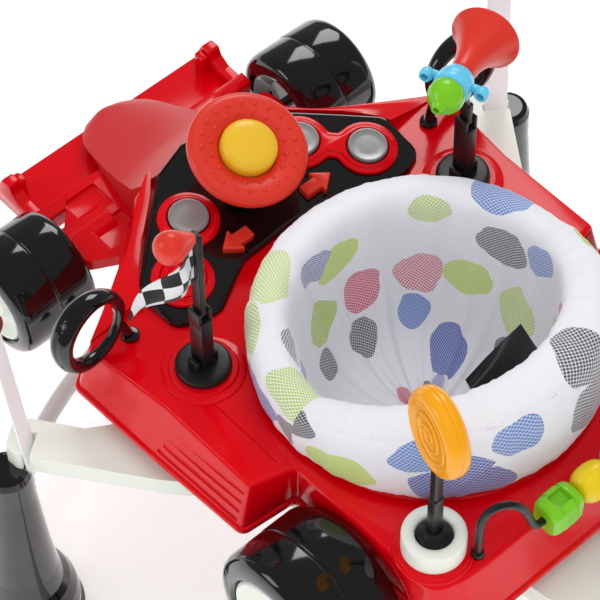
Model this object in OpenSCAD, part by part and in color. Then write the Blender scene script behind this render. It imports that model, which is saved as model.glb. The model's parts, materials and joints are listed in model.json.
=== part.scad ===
// Racing-car activity walker: a red car tray on a moulded three-arm frame,
// carried by a rolling base with three caster towers. Millimetres, +Z up, -Y is the car's nose.

/* [Heights] */
// height of the tray deck above the floor
deck_h = 400; // [380:1:430]
// top face of the arms below the deck
arm_top = 85; // [80:1:95]
// depth of the moulded arms
arm_t = 24; // [18:1:28]
// bottom of the tray's outer flange below the deck
flange_drop = 60; // [50:1:65]
// centre of the base tubes above the floor
tube_z = 78; // [76:1:82]

/* [Base] */
// base tube diameter
tube_d = 19; // [16:1:22]
// front towers, sideways from the centreline
tower_x = 338; // [330:1:350]
// front towers, forward of the toy line
tower_y = -101; // [-110:1:-95]
// rear tower, behind the toy line
rear_tower_y = 438; // [434:1:445]
// radius of the tower's upper column
tower_r = 24; // [22:1:27]
// radius of the caster housing at its rim
dome_r = 58; // [56:1:62]
// height of the housing's rim above the floor
dome_bottom = 32; // [28:1:36]
// caster wheel radius
caster_r = 26; // [24:1:27]
// how far the caster wheel trails its swivel
caster_trail = 15; // [12:1:18]

/* [Tray] */
// wall of the moulded tray
tray_wall = 4; // [3:0.5:5]
// centre of the seat behind the toy line
seat_y = 133; // [128:1:138]
// radius of the tray's seat hole
seat_hole_r = 150; // [146:1:154]
// front of the wing
wing_front = -364; // [-370:1:-355]
// half-span of the front wing
wing_half = 131; // [125:1:140]

/* [Toy wheels] */
// front wheel radius
front_wheel_r = 60; // [56:1:62]
// front wheel width
front_wheel_w = 93; // [88:1:96]
// rear wheel radius
rear_wheel_r = 80; // [76:1:82]
// rear wheel width
rear_wheel_w = 98; // [92:1:100]

/* [Controls] */
// slope of the dashboard, degrees
dash_tilt = 7.6; // [6:0.2:9]
// steering wheel radius
steer_r = 60; // [56:1:62]
// steering column tilt, degrees
steer_tilt = 20; // [18:1:24]

/* [Straps] */
// webbing width
web_w = 25; // [20:1:28]
// webbing thickness
web_t = 2; // [1.5:0.5:3]
// top of the straps above the deck
strap_top = 80; // [60:1:100]

/* [Hidden] */
$fn = 64;
fit = 0.05;
gap = 0.3;
red = [0.80, 0.04, 0.07];
black = [0.04, 0.04, 0.045];
cream = [0.89, 0.88, 0.84];
grey = [0.65, 0.65, 0.66];

// the toy line's place in the shared frame, so the whole walker is centred front to back
datum_y = -(wing_front + rear_tower_y + dome_r) / 2;
arm_bottom = arm_top + arm_t;
tower_top = arm_bottom + gap;
seat_c = [0, seat_y];
pin_r = 5.5;
front_pin = [321, -105];
rear_pin = [0, 420];
front_slot = [313, -94];
rear_slot = [0, 405];

// ---- helpers ---------------------------------------------------------------

module at_datum() translate([0, datum_y, deck_h]) children();
module both_sides() { children(); mirror([1, 0, 0]) children(); }
module place(side, p, z = 0) translate([side * p[0], p[1], z]) children();

function unit(v) = v / norm(v);
function cross_z(a, b) = a[0] * b[1] - a[1] * b[0];
// one corner of an outline replaced by an arc; p = [x, y, radius]
function corner(a, p, b, n) =
  let (u = unit([a[0] - p[0], a[1] - p[1]]), v = unit([b[0] - p[0], b[1] - p[1]]),
       half = acos(max(-1, min(1, u * v))) / 2,
       reach = p[2] / tan(half), bis = unit(u + v),
       c = [p[0], p[1]] + bis * p[2] / sin(half),
       s = [p[0], p[1]] + u * reach - c, turn = 180 - 2 * half,
       way = cross_z(u, v) > 0 ? -1 : 1)
  [for (i = [0:n]) let (t = way * turn * i / n)
    c + [s[0] * cos(t) - s[1] * sin(t), s[0] * sin(t) + s[1] * cos(t)]];
function rounded(pts, n = 5) =
  let (m = len(pts))
  [for (i = [0:m - 1]) each (pts[i][2] > 0
    ? corner(pts[(i + m - 1) % m], pts[i], pts[(i + 1) % m], n) : [[pts[i][0], pts[i][1]]])];
// right half mirrored onto the left; the half runs from front to back
function whole(half) = concat(half,
  [for (i = [len(half) - 1:-1:0]) if (half[i][0] > 0.01) [-half[i][0], half[i][1], half[i][2]]]);
// every vertex moved inwards by d; outlines run counter-clockwise seen from above
function inset(pts, d) =
  let (m = len(pts))
  [for (i = [0:m - 1])
    let (a = unit(pts[i] - pts[(i + m - 1) % m]), b = unit(pts[(i + 1) % m] - pts[i]),
         n = unit([-a[1] - b[1], a[0] + b[0]]), k = max(0.4, n * [-a[1], a[0]]))
    pts[i] + n * d / k];
// a closed skin over rings of equal length, each counter-clockwise seen from the last ring's side
module skin(rings) {
  m = len(rings[0]);
  k = len(rings);
  sides = [for (j = [0:k - 2]) for (i = [0:m - 1]) let (i2 = (i + 1) % m)
    each [[j * m + i, (j + 1) * m + i, (j + 1) * m + i2], [j * m + i, (j + 1) * m + i2, j * m + i2]]];
  polyhedron([for (r = rings) each r], concat([[for (i = [0:m - 1]) i]],
    [[for (i = [m - 1:-1:0]) (k - 1) * m + i]], sides), 4);
}
// layers = [[outline, z], ...], lowest first
module loft(layers) skin([for (l = layers) [for (p = l[0]) [p[0], p[1], l[1]]]]);
// a freeform moulding, taken as one skin
module moulded() {
  $fn = 32;
  resize([0, 0, 0]) children();
}
module rod(a, b, r) {
  v = b - a;
  translate(a) rotate([0, acos(v[2] / norm(v)), atan2(v[1], v[0])])
    cylinder(r = r, h = norm(v), $fn = 16);
}
function circumcentre(a, b, c) =
  let (d = 2 * (a[0] * (b[1] - c[1]) + b[0] * (c[1] - a[1]) + c[0] * (a[1] - b[1])))
  [((a * a) * (b[1] - c[1]) + (b * b) * (c[1] - a[1]) + (c * c) * (a[1] - b[1])) / d,
   ((a * a) * (c[0] - b[0]) + (b * b) * (a[0] - c[0]) + (c * c) * (b[0] - a[0])) / d];
// a round tube bent through three points on plan
module bent_tube(a, b, c, d, wall) {
  o = circumcentre(a, b, c);
  r = norm(a - o);
  a0 = atan2(a[1] - o[1], a[0] - o[0]);
  a1 = atan2(c[1] - o[1], c[0] - o[0]);
  translate([o[0], o[1], 0]) rotate([0, 0, min(a0, a1)])
    rotate_extrude(angle = abs(a1 - a0), $fn = 180) translate([r, 0])
      difference() {
        circle(d = d, $fn = 48);
        circle(d = d - 2 * wall, $fn = 48);
      }
}

// ---- rolling base ----------------------------------------------------------

// the tubes stop inside the housings, in sockets
socket = 40;
module base_tubes() color([0.80, 0.80, 0.80]) translate([0, datum_y, tube_z]) {
  bent_tube([-tower_x + 2, tower_y - socket], [0, -286], [tower_x - 2, tower_y - socket], tube_d, 1.6);
  both_sides() bent_tube([tower_x - 4, tower_y + socket], [290, 190], [socket, rear_tower_y - 12],
    tube_d, 1.6);
}

column_foot = 96;
// one corner: column on a caster dome, with the lifting pin's rib on the side facing the arm
module tower(p, pin) {
  column_top = deck_h - tower_top;
  away = unit(p - pin);
  translate([0, datum_y, 0]) difference() {
    union() {
      translate([p[0], p[1], 0]) {
        rotate_extrude() polygon([[0, dome_bottom], [dome_r, dome_bottom], [dome_r, dome_bottom + 6],
          [dome_r - 3, dome_bottom + 10], [dome_r - 3, 60], [52, 74], [46, 88], [40, column_foot],
          [36, 120], [32, 160], [28, 210], [tower_r + 1, 250], [tower_r, column_top - 8],
          [tower_r - 3, column_top - 2], [tower_r - 8, column_top], [0, column_top]]);
        // raised half-round badges on the housing
        for (s = [-1, 1]) rotate([0, 0, atan2(away[1], away[0]) + 38 * s])
          translate([dome_r - 8, 0, 54]) rotate([0, 90, 0]) cylinder(r = 11, h = 7);
      }
      translate([pin[0], pin[1], column_foot]) cylinder(r = 13, h = column_top - column_foot - 6);
    }
    // caster well, swivel bore, pin bore
    translate([p[0], p[1], dome_bottom - 1]) cylinder(r = 53, h = 66 - dome_bottom + 1);
    translate([p[0], p[1], 60]) cylinder(r = 5 + fit, h = 30);
    translate([pin[0], pin[1], column_top - 100]) cylinder(r = pin_r + fit, h = 120);
    children();
  }
}
module front_tower(side) tower([side * tower_x, tower_y], [side * front_pin[0], front_pin[1]]) {
  translate([0, 0, tube_z]) socket_cuts();
  // room for the strap's tail
  strap_slot(side, deck_h - tower_top - 60, 80, 6);
}
module strap_slot(side, z, h, w) mirror([side > 0 ? 0 : 1, 0, 0]) translate([front_slot[0], front_slot[1], z])
  rotate([0, 0, -54.4]) translate([-w / 2, -web_w / 2 - 1.5, 0]) cube([w, web_w + 3, h]);
// the tube ends' own space, cut from every housing
module socket_cuts() {
  grow = 0.4;
  bent_tube([-tower_x + 2, tower_y - socket], [0, -286], [tower_x - 2, tower_y - socket],
    tube_d + grow, tube_d / 2);
  both_sides() bent_tube([tower_x - 4, tower_y + socket], [290, 190], [socket, rear_tower_y - 12],
    tube_d + grow, tube_d / 2);
}
module tower_left() color(black) front_tower(1);
module tower_right() color(black) front_tower(-1);
module tower_rear() color(black) tower([0, rear_tower_y], rear_pin)
  translate([0, 0, tube_z]) socket_cuts();

// rubber strips under the housings that stop the walker at a step
module grip_pads() color([0.1, 0.1, 0.1]) translate([0, datum_y, 0])
  for (p = [[tower_x, tower_y, -40], [-tower_x, tower_y, 220], [0, rear_tower_y, 90]])
    translate([p[0], p[1], 0]) for (s = [-1, 1]) rotate([0, 0, p[2] + 45 * s])
      translate([dome_r - 5, -12, dome_bottom - 12]) cube([4, 24, 12]);

fork_in = 11.6;
module caster_fork(p) color(grey) translate([p[0], p[1] + datum_y, 0]) {
  translate([0, 0, 57]) {
    cylinder(r = 5, h = 29);
    cylinder(r = 17, h = 7);
  }
  both_sides() translate([fork_in, 0, 0]) rotate([90, 0, 90]) linear_extrude(3)
    polygon(rounded([[-14, 64, 0], [-14, 52, 4], [caster_trail - 7, 18, 6],
      [caster_trail + 7, 18, 6], [14, 64, 0]]));
  translate([-fork_in - 3, caster_trail, caster_r]) rotate([0, 90, 0]) cylinder(r = 3, h = 2 * fork_in + 6);
}
module fork_clear(p) difference() {
  caster_fork(p);
  translate([p[0], p[1] + datum_y + caster_trail, caster_r]) rotate([0, 90, 0])
    difference() {
      cylinder(r = caster_r + 1.5, h = 2 * fork_in, center = true);
      cylinder(r = 3, h = 60, center = true);
    }
}
module caster_fork_left() fork_clear([tower_x, tower_y]);
module caster_fork_right() fork_clear([-tower_x, tower_y]);
module caster_fork_rear() fork_clear([0, rear_tower_y]);

module caster_wheel(p) color([0.25, 0.25, 0.26])
  translate([p[0], p[1] + datum_y + caster_trail, caster_r]) rotate([0, 90, 0]) rotate_extrude()
    polygon([[3 + fit, -10.5], [9, -10.5], [11, -8], [17, -8], [19, -10], [23, -10],
      [caster_r - 0.8, -8], [caster_r, -5], [caster_r, 5], [caster_r - 0.8, 8], [23, 10],
      [19, 10], [17, 8], [11, 8], [9, 10.5], [3 + fit, 10.5]]);
module caster_wheel_left() caster_wheel([tower_x, tower_y]);
module caster_wheel_right() caster_wheel([-tower_x, tower_y]);
module caster_wheel_rear() caster_wheel([0, rear_tower_y]);

// ---- three-arm frame -------------------------------------------------------

spider_half = [[0, -55, 0], [218, -55, 10], [240, -58, 14], [262, -72, 0], [283, -102, 0],
  [293, -116, 10], [307, -126, 5], [331, -108, 5], [330, -94, 8], [249, 19, 10], [236, 34, 16],
  [176, 96, 80], [122, 200, 160], [76, 300, 60], [67, 364, 40], [40, 410, 30], [21, 432, 14],
  [0, 432, 0]];
spider_open_r = 122;
screw_spots = [[195, -20], [158, 52], [45, 305]];
module spider_frame() color(cream) at_datum() {
  outline = rounded(whole(spider_half), 6);
  translate([0, 0, -arm_bottom]) difference() {
    linear_extrude(arm_t) polygon(outline);
    // hollow underside with ribs left standing
    translate([0, 0, -1]) difference() {
      linear_extrude(arm_t - 3) polygon(inset(outline, 4));
      translate([0, seat_y, -1]) cylinder(r = spider_open_r + 4, h = arm_t + 2);
      for (a = [0:30:330]) translate([0, seat_y, 0]) rotate([0, 0, a + 15])
        translate([0, -1.5, 0]) cube([260, 3, arm_t]);
      both_sides() {
        place(1, front_slot) rotate([0, 0, -54.4]) translate([-7, -web_w / 2 - 5, 0])
          cube([13, web_w + 10, arm_t]);
        place(1, front_pin) cylinder(r = pin_r + 5, h = arm_t);
        for (s = screw_spots) place(1, s) cylinder(r = 8, h = arm_t);
      }
      translate([-web_w / 2 - 5, rear_slot[1] - 6, 0]) cube([web_w + 10, 12, arm_t]);
      translate([0, rear_pin[1], 0]) cylinder(r = pin_r + 4, h = arm_t);
    }
    translate([0, seat_y, -2]) cylinder(r = spider_open_r, h = arm_t + 4, $fn = 128);
    both_sides() {
      strap_slot(1, -2, arm_t + 4, 8);
      place(1, front_pin) translate([0, 0, -2]) cylinder(r = pin_r + fit, h = arm_t - 1);
      for (s = screw_spots) place(1, s) translate([0, 0, -2]) cylinder(r = 2.4, h = arm_t + 4);
      for (s = screw_spots) place(1, s) translate([0, 0, -2]) cylinder(r = 4.6, h = 16);
    }
    translate([-web_w / 2 - 1, rear_slot[1] - 4, -2]) cube([web_w + 2, 8, arm_t + 4]);
    translate([0, rear_pin[1], -2]) cylinder(r = pin_r + fit, h = arm_t - 1);
  }
}

// the steel pins that guide the tray frame up and down in the towers
module height_pins() color(grey) at_datum()
  for (p = [front_pin, [-front_pin[0], front_pin[1]], rear_pin])
    translate([p[0], p[1], -arm_bottom - 92]) cylinder(r = pin_r, h = 92 + arm_t - 3.2);

// ---- car tray --------------------------------------------------------------

// deck edge and flange edge, point for point, front to back
deck_half = [[0, -212, 0], [64, -212, 6], [85, -203, 10], [115, -165, 30], [172, -130, 20],
  [236, -92, 8], [225, 6, 40], [225, 127, 6], [179, 140, 8], [178, 262, 8], [183, 290, 20],
  [176, 322, 22], [146, 331, 20], [118, 333, 20], [0, 333, 0]];
flange_half = [[0, -217, 0], [70, -217, 6], [96, -206, 10], [124, -178, 30], [178, -142, 20],
  [246, -98, 8], [243, 2, 40], [237, 130, 6], [176.5, 136, 8], [176, 290, 6], [184, 308, 12],
  [184, 334, 22], [150, 345, 20], [118, 348, 20], [0, 348, 0]];
lip = 4;
module tray_shell() color(red) at_datum() difference() {
  moulded() {
    difference() {
      union() {
        tray_blank(flange_drop - 1);
        translate([0, 0, -flange_drop]) linear_extrude(5) polygon(inset(flange_line(), -lip));
        toy_bosses();
        deck_collar();
        fairing();
      }
      difference() {
        loft([[inset(flange_line(), tray_wall), -flange_drop - 1],
          [inset(deck_line(), tray_wall + 3), -tray_wall]]);
        translate([0, seat_y, -flange_drop - 2])
          cylinder(r = seat_hole_r + tray_wall, h = flange_drop, $fn = 64);
      }
      side_louvres();
      deck_grooves();
      both_sides() place(1, wire_foot, 0) cylinder(r = foot_r + gap, h = 20);
      translate([0, seat_y, -flange_drop - 2]) cylinder(r = seat_hole_r - 1, h = 90, $fn = 64);
    }
    tray_bosses();
    axle_brackets();
  }
  translate([0, seat_y, -flange_drop - 2]) cylinder(r = seat_hole_r, h = flange_drop + 40);
  translate([0, 0, -arm_top - 1]) tray_screw_holes();
  axle_bores();
}
function deck_line() = rounded(whole(deck_half), 3);
function flange_line() = rounded(whole(flange_half), 3);
module tray_blank(drop) loft([[flange_line(), -drop], [deck_line(), -7],
  [inset(deck_line(), 1.5), -2.5], [inset(deck_line(), 5), 0]]);
module tray_bosses() both_sides() for (s = screw_spots)
  translate([s[0], s[1], -arm_top]) cylinder(r = 8, h = arm_top - 2);
module tray_screw_holes() both_sides() for (s = screw_spots)
  translate([s[0], s[1], 0]) cylinder(r = 1.9, h = 24);
rear_axle = [0, 220, -80];
front_axle = [0, -249, -88];
axle_r = 6;
module axle_brackets() both_sides() translate([158, rear_axle[1] - 26, -104]) cube([17, 52, 102]);
module axle_bores() both_sides() translate([150, rear_axle[1], rear_axle[2]]) rotate([0, 90, 0])
  cylinder(r = axle_r, h = 40);
module toy_bosses() {
  both_sides() translate([169, 0, -2]) {
    cylinder(r1 = 41, r2 = 40, h = 4);
    cylinder(r = 33, h = 7);
  }
  both_sides() translate([oval_c[0], oval_c[1], -2]) {
    cylinder(r1 = 38, r2 = 37, h = 4);
    cylinder(r = 34, h = 6);
  }
}
collar_h = 12;
module deck_collar() translate([0, seat_y, -2]) {
  cylinder(r = seat_hole_r + tray_wall, h = collar_h + 2, $fn = 64);
  cylinder(r1 = seat_hole_r + 13, r2 = seat_hole_r + 10, h = 5, $fn = 64);
}
// raised band round the outside of the dashboard, falling away to the deck's front corner
fairing_half = [[64, -206, 2], [84, -200, 8], [114.5, -163, 26], [171, -129, 18], [231, -94, 4],
  [166, -98, 4], [127, -137, 18], [62, -194, 14]];
module fairing() both_sides() difference() {
  translate([0, 0, -2]) linear_extrude(34) polygon(rounded(fairing_half, 4));
  translate([80, -213, 28]) rotate([8, 15.6, 0]) translate([-200, -200, 0]) cube([600, 600, 100]);
  dash_wedge(0.5);
}
// converging grooves along each sidepod
module side_louvres() both_sides() for (i = [0:3])
  rod([241 - 3 * i, 14 + 5 * i, -48 + 10 * i], [236 - 3 * i, 122, -50 + 12 * i], 2.2);
module deck_grooves() both_sides() translate([188, 40, -1]) rotate([0, 0, 2]) cube([2, 84, 4]);

// flat front wing with a step behind and humped end plates
wing_back = -286;
wing_top = -82;
module front_wing() color(red) at_datum() {
  difference() {
    union() {
      translate([0, 0, wing_top - 16]) linear_extrude(16)
        polygon(rounded([[-wing_half, wing_front, 8], [wing_half, wing_front, 8],
          [wing_half, wing_back, 4], [-wing_half, wing_back, 4]]));
      both_sides() translate([wing_half - 28, wing_front, wing_top - 20]) rotate([90, 0, 90])
        linear_extrude(28) polygon(rounded([[1, 0, 5], [78, 0, 4], [78, 49, 8], [57, 47, 8], [47, 36, 8],
          [33, 35, 8], [25, 44, 7], [12, 44, 8], [1, 22, 8]]));
    }
    // the lower front face, and the hollow underneath
    translate([-wing_half + 29, wing_front - 1, wing_top - 3]) cube([2 * wing_half - 58, 44, 20]);
    translate([-wing_half + 5, wing_front + 5, wing_top - 22])
      cube([2 * wing_half - 10, wing_back - wing_front - 10, 15]);
  }
}

// sloping shield over the nose: [y, half-width, height of the edge, rise to the crown]
cowl_rows = [[-362, 12, -76, 4], [-358, 24, -75, 6], [-351, 34, -74, 7], [-340, 43, -71, 8],
  [-326, 48, -66, 9], [-310, 52, -61, 10], [-281, 59, -50, 11], [-255, 64, -39, 12],
  [-229, 68, -26, 15], [-213, 65, -8, 18], [-204, 60, 7, 15], [-196, 50, 19, 5]];
cowl_skin = 4;
plate_top = -66;
// the skirt reaches down to the axle plate behind the wing
function cowl_ring(r) =
  let (w = r[1], v = w - cowl_skin, foot = r[0] > -290 ? plate_top + 0.5 : r[2] - cowl_skin)
  concat([for (t = [1:-0.25:-1]) [w * t, r[0], r[2] + r[3] * (1 - t * t)]],
    [[-w, r[0], foot], [-v, r[0], foot]],
    [for (t = [-0.95:0.475:0.95]) [v * t, r[0], r[2] - 3.4 + r[3] * (1 - t * t)]],
    [[v, r[0], foot], [w, r[0], foot]]);
module nose_cowl() color([0.78, 0.05, 0.08]) at_datum() moulded() difference() {
  skin([for (r = cowl_rows) cowl_ring(r)]);
  dash_wedge(0.3);
  fairing_space();
  tray_space();
}
module fairing_space() both_sides() translate([0, 0, -2]) linear_extrude(60)
  polygon(inset(rounded(fairing_half, 4), -0.4));
module tray_space() loft([[inset(flange_line(), -lip - gap), -flange_drop - 1],
  [inset(flange_line(), -lip - gap), -flange_drop + 6], [inset(deck_line(), -2.5), -7],
  [inset(deck_line(), -2.5), gap]]);

// front suspension deck between wing and body, with recessed panels and stub housings
module axle_plate() color(red) at_datum() moulded() {
  difference() {
    union() {
      translate([0, 0, wing_top + gap]) linear_extrude(plate_top - wing_top - gap)
        polygon(rounded([[-98, -298, 10], [98, -298, 10], [142, -250, 12], [142, -214, 12],
          [98, -190, 10], [-98, -190, 10], [-142, -214, 12], [-142, -250, 12]]));
      both_sides() translate([84, front_axle[1], front_axle[2]]) rotate([0, 90, 0])
        cylinder(r = 24, h = 56.5);
    }
    both_sides() for (y = [-288, -244]) translate([72, y, plate_top - 5]) cube([40, 34, 12]);
    tray_space();
    // the wing's end plates and rear edge
    both_sides() translate([wing_half - 28.5, wing_front, -110]) cube([40, wing_back - wing_front + 0.4, 80]);
    both_sides() translate([78, front_axle[1], front_axle[2]]) rotate([0, 90, 0])
      cylinder(r = axle_r + 0.1, h = 80);
  }
}

// pins that carry the four toy wheels
module wheel_axles() color(grey) at_datum() both_sides() {
  translate([86, front_axle[1], front_axle[2]]) rotate([0, 90, 0]) cylinder(r = axle_r, h = 140);
  translate([156, rear_axle[1], rear_axle[2]]) rotate([0, 90, 0]) cylinder(r = axle_r, h = 114);
}

// profile from the centre outwards along one wheel: [radius, distance from the inner face]
module toy_tyre(p, r, w) color(black) at_datum() translate(p) rotate([0, 90, 0]) difference() {
  rotate_extrude($fn = 96) polygon([[axle_r + fit, 14], [r * 0.42, 14], [r * 0.48, 10],
    [r * 0.62, 2], [r * 0.70, 0], [r * 0.84, 1], [r * 0.95, 5], [r, 14], [r + 0.01, w * 0.46],
    [r - 1.2, w * 0.5], [r + 0.01, w * 0.54], [r, w - 14], [r * 0.95, w - 5], [r * 0.84, w - 1],
    [r * 0.74, w], [r * 0.70, w - 6], [r * 0.70, w - 16], [axle_r + fit, w - 16]]);
  // shallow rounded pads pressed into the tread
  for (a = [0:30:330]) for (s = [0.28, 0.72]) rotate([0, 0, a]) translate([r, 0, w * s])
    rotate([0, 90, 0]) cylinder(r = 7, h = 1.6, center = true, $fn = 24);
}
module toy_hub(p, r, w) color(cream) at_datum() translate(p) rotate([0, 90, 0])
  rotate_extrude($fn = 96) polygon([[axle_r + fit, w - 15.9], [r * 0.69, w - 15.9], [r * 0.69, w - 4],
    [r * 0.63, w - 1], [r * 0.56, w - 6], [r * 0.36, w - 12], [r * 0.28, w - 12], [r * 0.22, w - 5],
    [axle_r + fit, w - 5]]);
front_in = 144.5;
rear_in = 182;
module tyre_front_left() toy_tyre([front_in, front_axle[1], front_axle[2]], front_wheel_r, front_wheel_w);
module tyre_front_right() mirror([1, 0, 0]) tyre_front_left();
module tyre_rear_left() toy_tyre([rear_in, rear_axle[1], rear_axle[2]], rear_wheel_r, rear_wheel_w);
module tyre_rear_right() mirror([1, 0, 0]) tyre_rear_left();
module hub_front_left() toy_hub([front_in, front_axle[1], front_axle[2]], front_wheel_r, front_wheel_w);
module hub_front_right() mirror([1, 0, 0]) hub_front_left();
module hub_rear_left() toy_hub([rear_in, rear_axle[1], rear_axle[2]], rear_wheel_r, rear_wheel_w);
module hub_rear_right() mirror([1, 0, 0]) hub_rear_left();

// ---- dashboard and controls ------------------------------------------------

dash_half = [[0, -206, 0], [20, -206, 12], [61, -193, 16], [126, -136, 20], [161, -104, 16],
  [159, -52, 16], [136, -42, 12], [112, -38, 20], [84, -54, 20], [57, -68, 20], [0, -70, 0]];
dash_front_z = 26;
function dash_z(y) = dash_front_z - (y + 200) * tan(dash_tilt);
module on_dash(x, y) translate([x, y, dash_z(y)]) rotate([-dash_tilt, 0, 0]) children();
module dash_wedge(grow) difference() {
  linear_extrude(60) polygon(inset(rounded(whole(dash_half), 5), -grow));
  on_dash(0, -200) translate([-300, -100, 0]) cube([600, 400, 100]);
}
buttons = [[72, -134], [-72, -134], [-120, -86]];
speaker = [120, -86];
arrow_at = [51, -86];
button_travel = 2;
module arrow_shape(side) polygon([for (p = [[-16, -7], [2, -7], [0, -15], [20, 0],
  [0, 15], [2, 7], [-16, 7]]) [side * p[0], p[1]]]);
steer_c = [0, -127, 71];
module at_steer() translate(steer_c) rotate([-steer_tilt, 0, 0]) children();
module dashboard() color(black) at_datum() {
  difference() {
    translate([0, 0, 0.2]) dash_wedge(0);
    for (b = buttons) on_dash(b[0], b[1]) translate([0, 0, -5]) cylinder(r = 20.6, h = 20);
    on_dash(speaker[0], speaker[1]) translate([0, 0, -3]) cylinder(r = 22, h = 20);
    for (s = [-1, 1]) on_dash(s * arrow_at[0], arrow_at[1]) translate([0, 0, -5]) linear_extrude(20)
      polygon([for (p = [[-17, -8.5], [1, -8.5], [-1.5, -17.5], [22, 0], [-1.5, 17.5], [1, 8.5],
        [-17, 8.5]]) [s * p[0], p[1]]]);
  }
  // steering column and its shaft
  difference() {
    at_steer() {
      translate([0, 0, -72]) cylinder(r = 17, h = 60);
      translate([0, 0, -40]) cylinder(r = 8, h = 37);
    }
    translate([-50, -250, -40]) cube([100, 200, 50]);
  }
}
pod_links = [[[72, -134], [120, -86]], [[-72, -134], [-120, -86]]];
// raised dog-bone surrounds and the ringed speaker cover
module control_rings() color([0.75, 0.05, 0.07]) at_datum() {
  for (l = pod_links) difference() {
    union() {
      for (p = l) on_dash(p[0], p[1]) translate([0, 0, gap]) cylinder(r1 = 30, r2 = 27, h = 6);
      on_dash((l[0][0] + l[1][0]) / 2, (l[0][1] + l[1][1]) / 2)
        rotate([0, 0, l[0][0] > 0 ? 45 : -45]) translate([-30, -13, gap]) cube([60, 26, 5]);
    }
    for (p = l) on_dash(p[0], p[1]) translate([0, 0, -1])
      cylinder(r = p[0] == speaker[0] ? 16 : 20.6, h = 20);
  }
  on_dash(speaker[0], speaker[1]) translate([0, 0, -2.9]) difference() {
    cylinder(r = 21.9, h = 9);
    for (r = [6, 12, 18]) translate([0, 0, 7.4]) difference() {
      cylinder(r = r, h = 4);
      cylinder(r = r - 2.4, h = 10, center = true);
    }
  }
}
module button(p) color([0.68, 0.68, 0.68]) at_datum() on_dash(p[0], p[1]) {
  translate([0, 0, -2.4]) cylinder(r = 16.5, h = 4);
  translate([0, 0, 3]) rotate_extrude() polygon([[0, -3], [16.5, -3], [20, 0], [20, 3], [18, 5],
    [12, 6.6], [0, 7.4]]);
}
module button_front_left() button(buttons[0]);
module button_front_right() button(buttons[1]);
module button_rear_right() button(buttons[2]);
module arrow(side) color([0.82, 0.1, 0.1]) at_datum() on_dash(side * arrow_at[0], arrow_at[1])
  translate([0, 0, -2.6]) linear_extrude(9) arrow_shape(side);
module arrow_left() arrow(1);
module arrow_right() arrow(-1);

module steering_wheel() color([0.86, 0.2, 0.16]) at_datum() at_steer() difference() {
  rotate_extrude($fn = 96) polygon([[8 + fit, -12], [26, -12], [34, -9], [48, -10], [56, -7.5],
    [steer_r, -1], [steer_r, 2], [56, 7], [49, 8.5], [40, 6], [33, 5], [30.4, 6.5], [29, 5],
    [29, -4], [8 + fit, -4]]);
  for (a = [0:12:348]) rotate([0, 0, a]) translate([53, 0, 9.4]) sphere(r = 2, $fn = 16);
}
module horn_button() color([0.9, 0.7, 0.18]) at_datum() at_steer() rotate_extrude()
  polygon([[0, 0.5], [28.4, 0.5], [28.4, 6], [27, 10], [22, 14.5], [14, 17.5], [0, 19]]);

// open ring mirrors standing beyond the deck's front corners, on short arms
mirror_c = [238, -78, 46];
module mirrors() color(black) at_datum() both_sides() moulded() {
  translate(mirror_c) rotate([-84, 0, 5]) rotate_extrude($fn = 40)
    polygon([for (a = [0:36:324]) [37.5 + 7.5 * cos(a), 7 * sin(a)]]);
  rod([196, -76, 4], [205, -78, 28], 5);
  translate([195, -76, 0.3]) cylinder(r = 9, h = 5, $fn = 24);
}

// ---- toys ------------------------------------------------------------------

toy_x = 169;
module toy_bases() color([0.06, 0.06, 0.06]) at_datum() both_sides() translate([toy_x, 0, 5.2])
  difference() {
    union() {
      cylinder(r1 = 27, r2 = 26, h = 8);
      for (s = [-1, 1]) translate([s * 11 - 2.5, -7, 6]) cube([5, 14, 14]);
    }
    translate([-8.2, -12, 5]) cube([16.4, 24, 20]);
    translate([-20, 0, 13]) rotate([0, 90, 0]) cylinder(r = 2.5, h = 40);
  }
stalk_pin_z = 18.2;
mid_pin_z = 92;
module stalk_lower(x) color([0.05, 0.05, 0.05]) at_datum() translate([x, 0, stalk_pin_z]) {
  difference() {
    union() {
      translate([-7, -9, -1]) cube([14, 18, mid_pin_z - stalk_pin_z - 8]);
      rotate([0, 90, 0]) cylinder(r = 7, h = 14, center = true);
      for (s = [-1, 1]) translate([s * 6.2 - 2, -8, 60]) cube([4, 16, mid_pin_z - stalk_pin_z - 52]);
    }
    translate([-10, 0, mid_pin_z - stalk_pin_z]) rotate([0, 90, 0]) cylinder(r = 2.4, h = 20);
  }
  rotate([0, 90, 0]) cylinder(r = 2.45, h = 27, center = true);
}
module stalk_upper(x, top) color([0.05, 0.05, 0.05]) at_datum() translate([x, 0, mid_pin_z]) {
  translate([-3.8, -6, 0]) cube([7.6, 12, top - mid_pin_z]);
  rotate([0, 90, 0]) cylinder(r = 6, h = 7.6, center = true);
  rotate([0, 90, 0]) cylinder(r = 2.35, h = 16, center = true);
}
flag_top = 206;
module flag_stalk_lower() stalk_lower(toy_x);
module flag_stalk_upper() stalk_upper(toy_x, flag_top);
// a smooth egg leaning outwards from the pole's top
module flag_knob() color([0.8, 0.08, 0.08]) at_datum() translate([toy_x, 0, flag_top - 3])
  rotate([0, 72, 0]) rotate_extrude() polygon([[0, 5], [8, 5.5], [13, 9], [16.5, 16], [17, 24],
    [15.5, 32], [11, 39], [5, 43], [0, 44]]);
module flag_cloth() color([0.9, 0.9, 0.9]) at_datum() translate([toy_x + 4.2, 0, 156])
  rotate([90, 0, 0]) translate([0, 0, -0.8]) linear_extrude(1.6)
    polygon([[0, -22], [36, -14], [76, -5], [56, 10], [38, 26], [6, 34], [0, 34]]);
module horn_stalk_lower() stalk_lower(-toy_x);
horn_c = [-151, 0, 160];
horn_r = 20;
module horn_stalk_upper() {
  stalk_upper(-toy_x, 118);
  color([0.05, 0.05, 0.05]) at_datum() rod([-toy_x, 0, 114], [-156, 0, horn_c[2] - horn_r - 1], 5);
}

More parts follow.
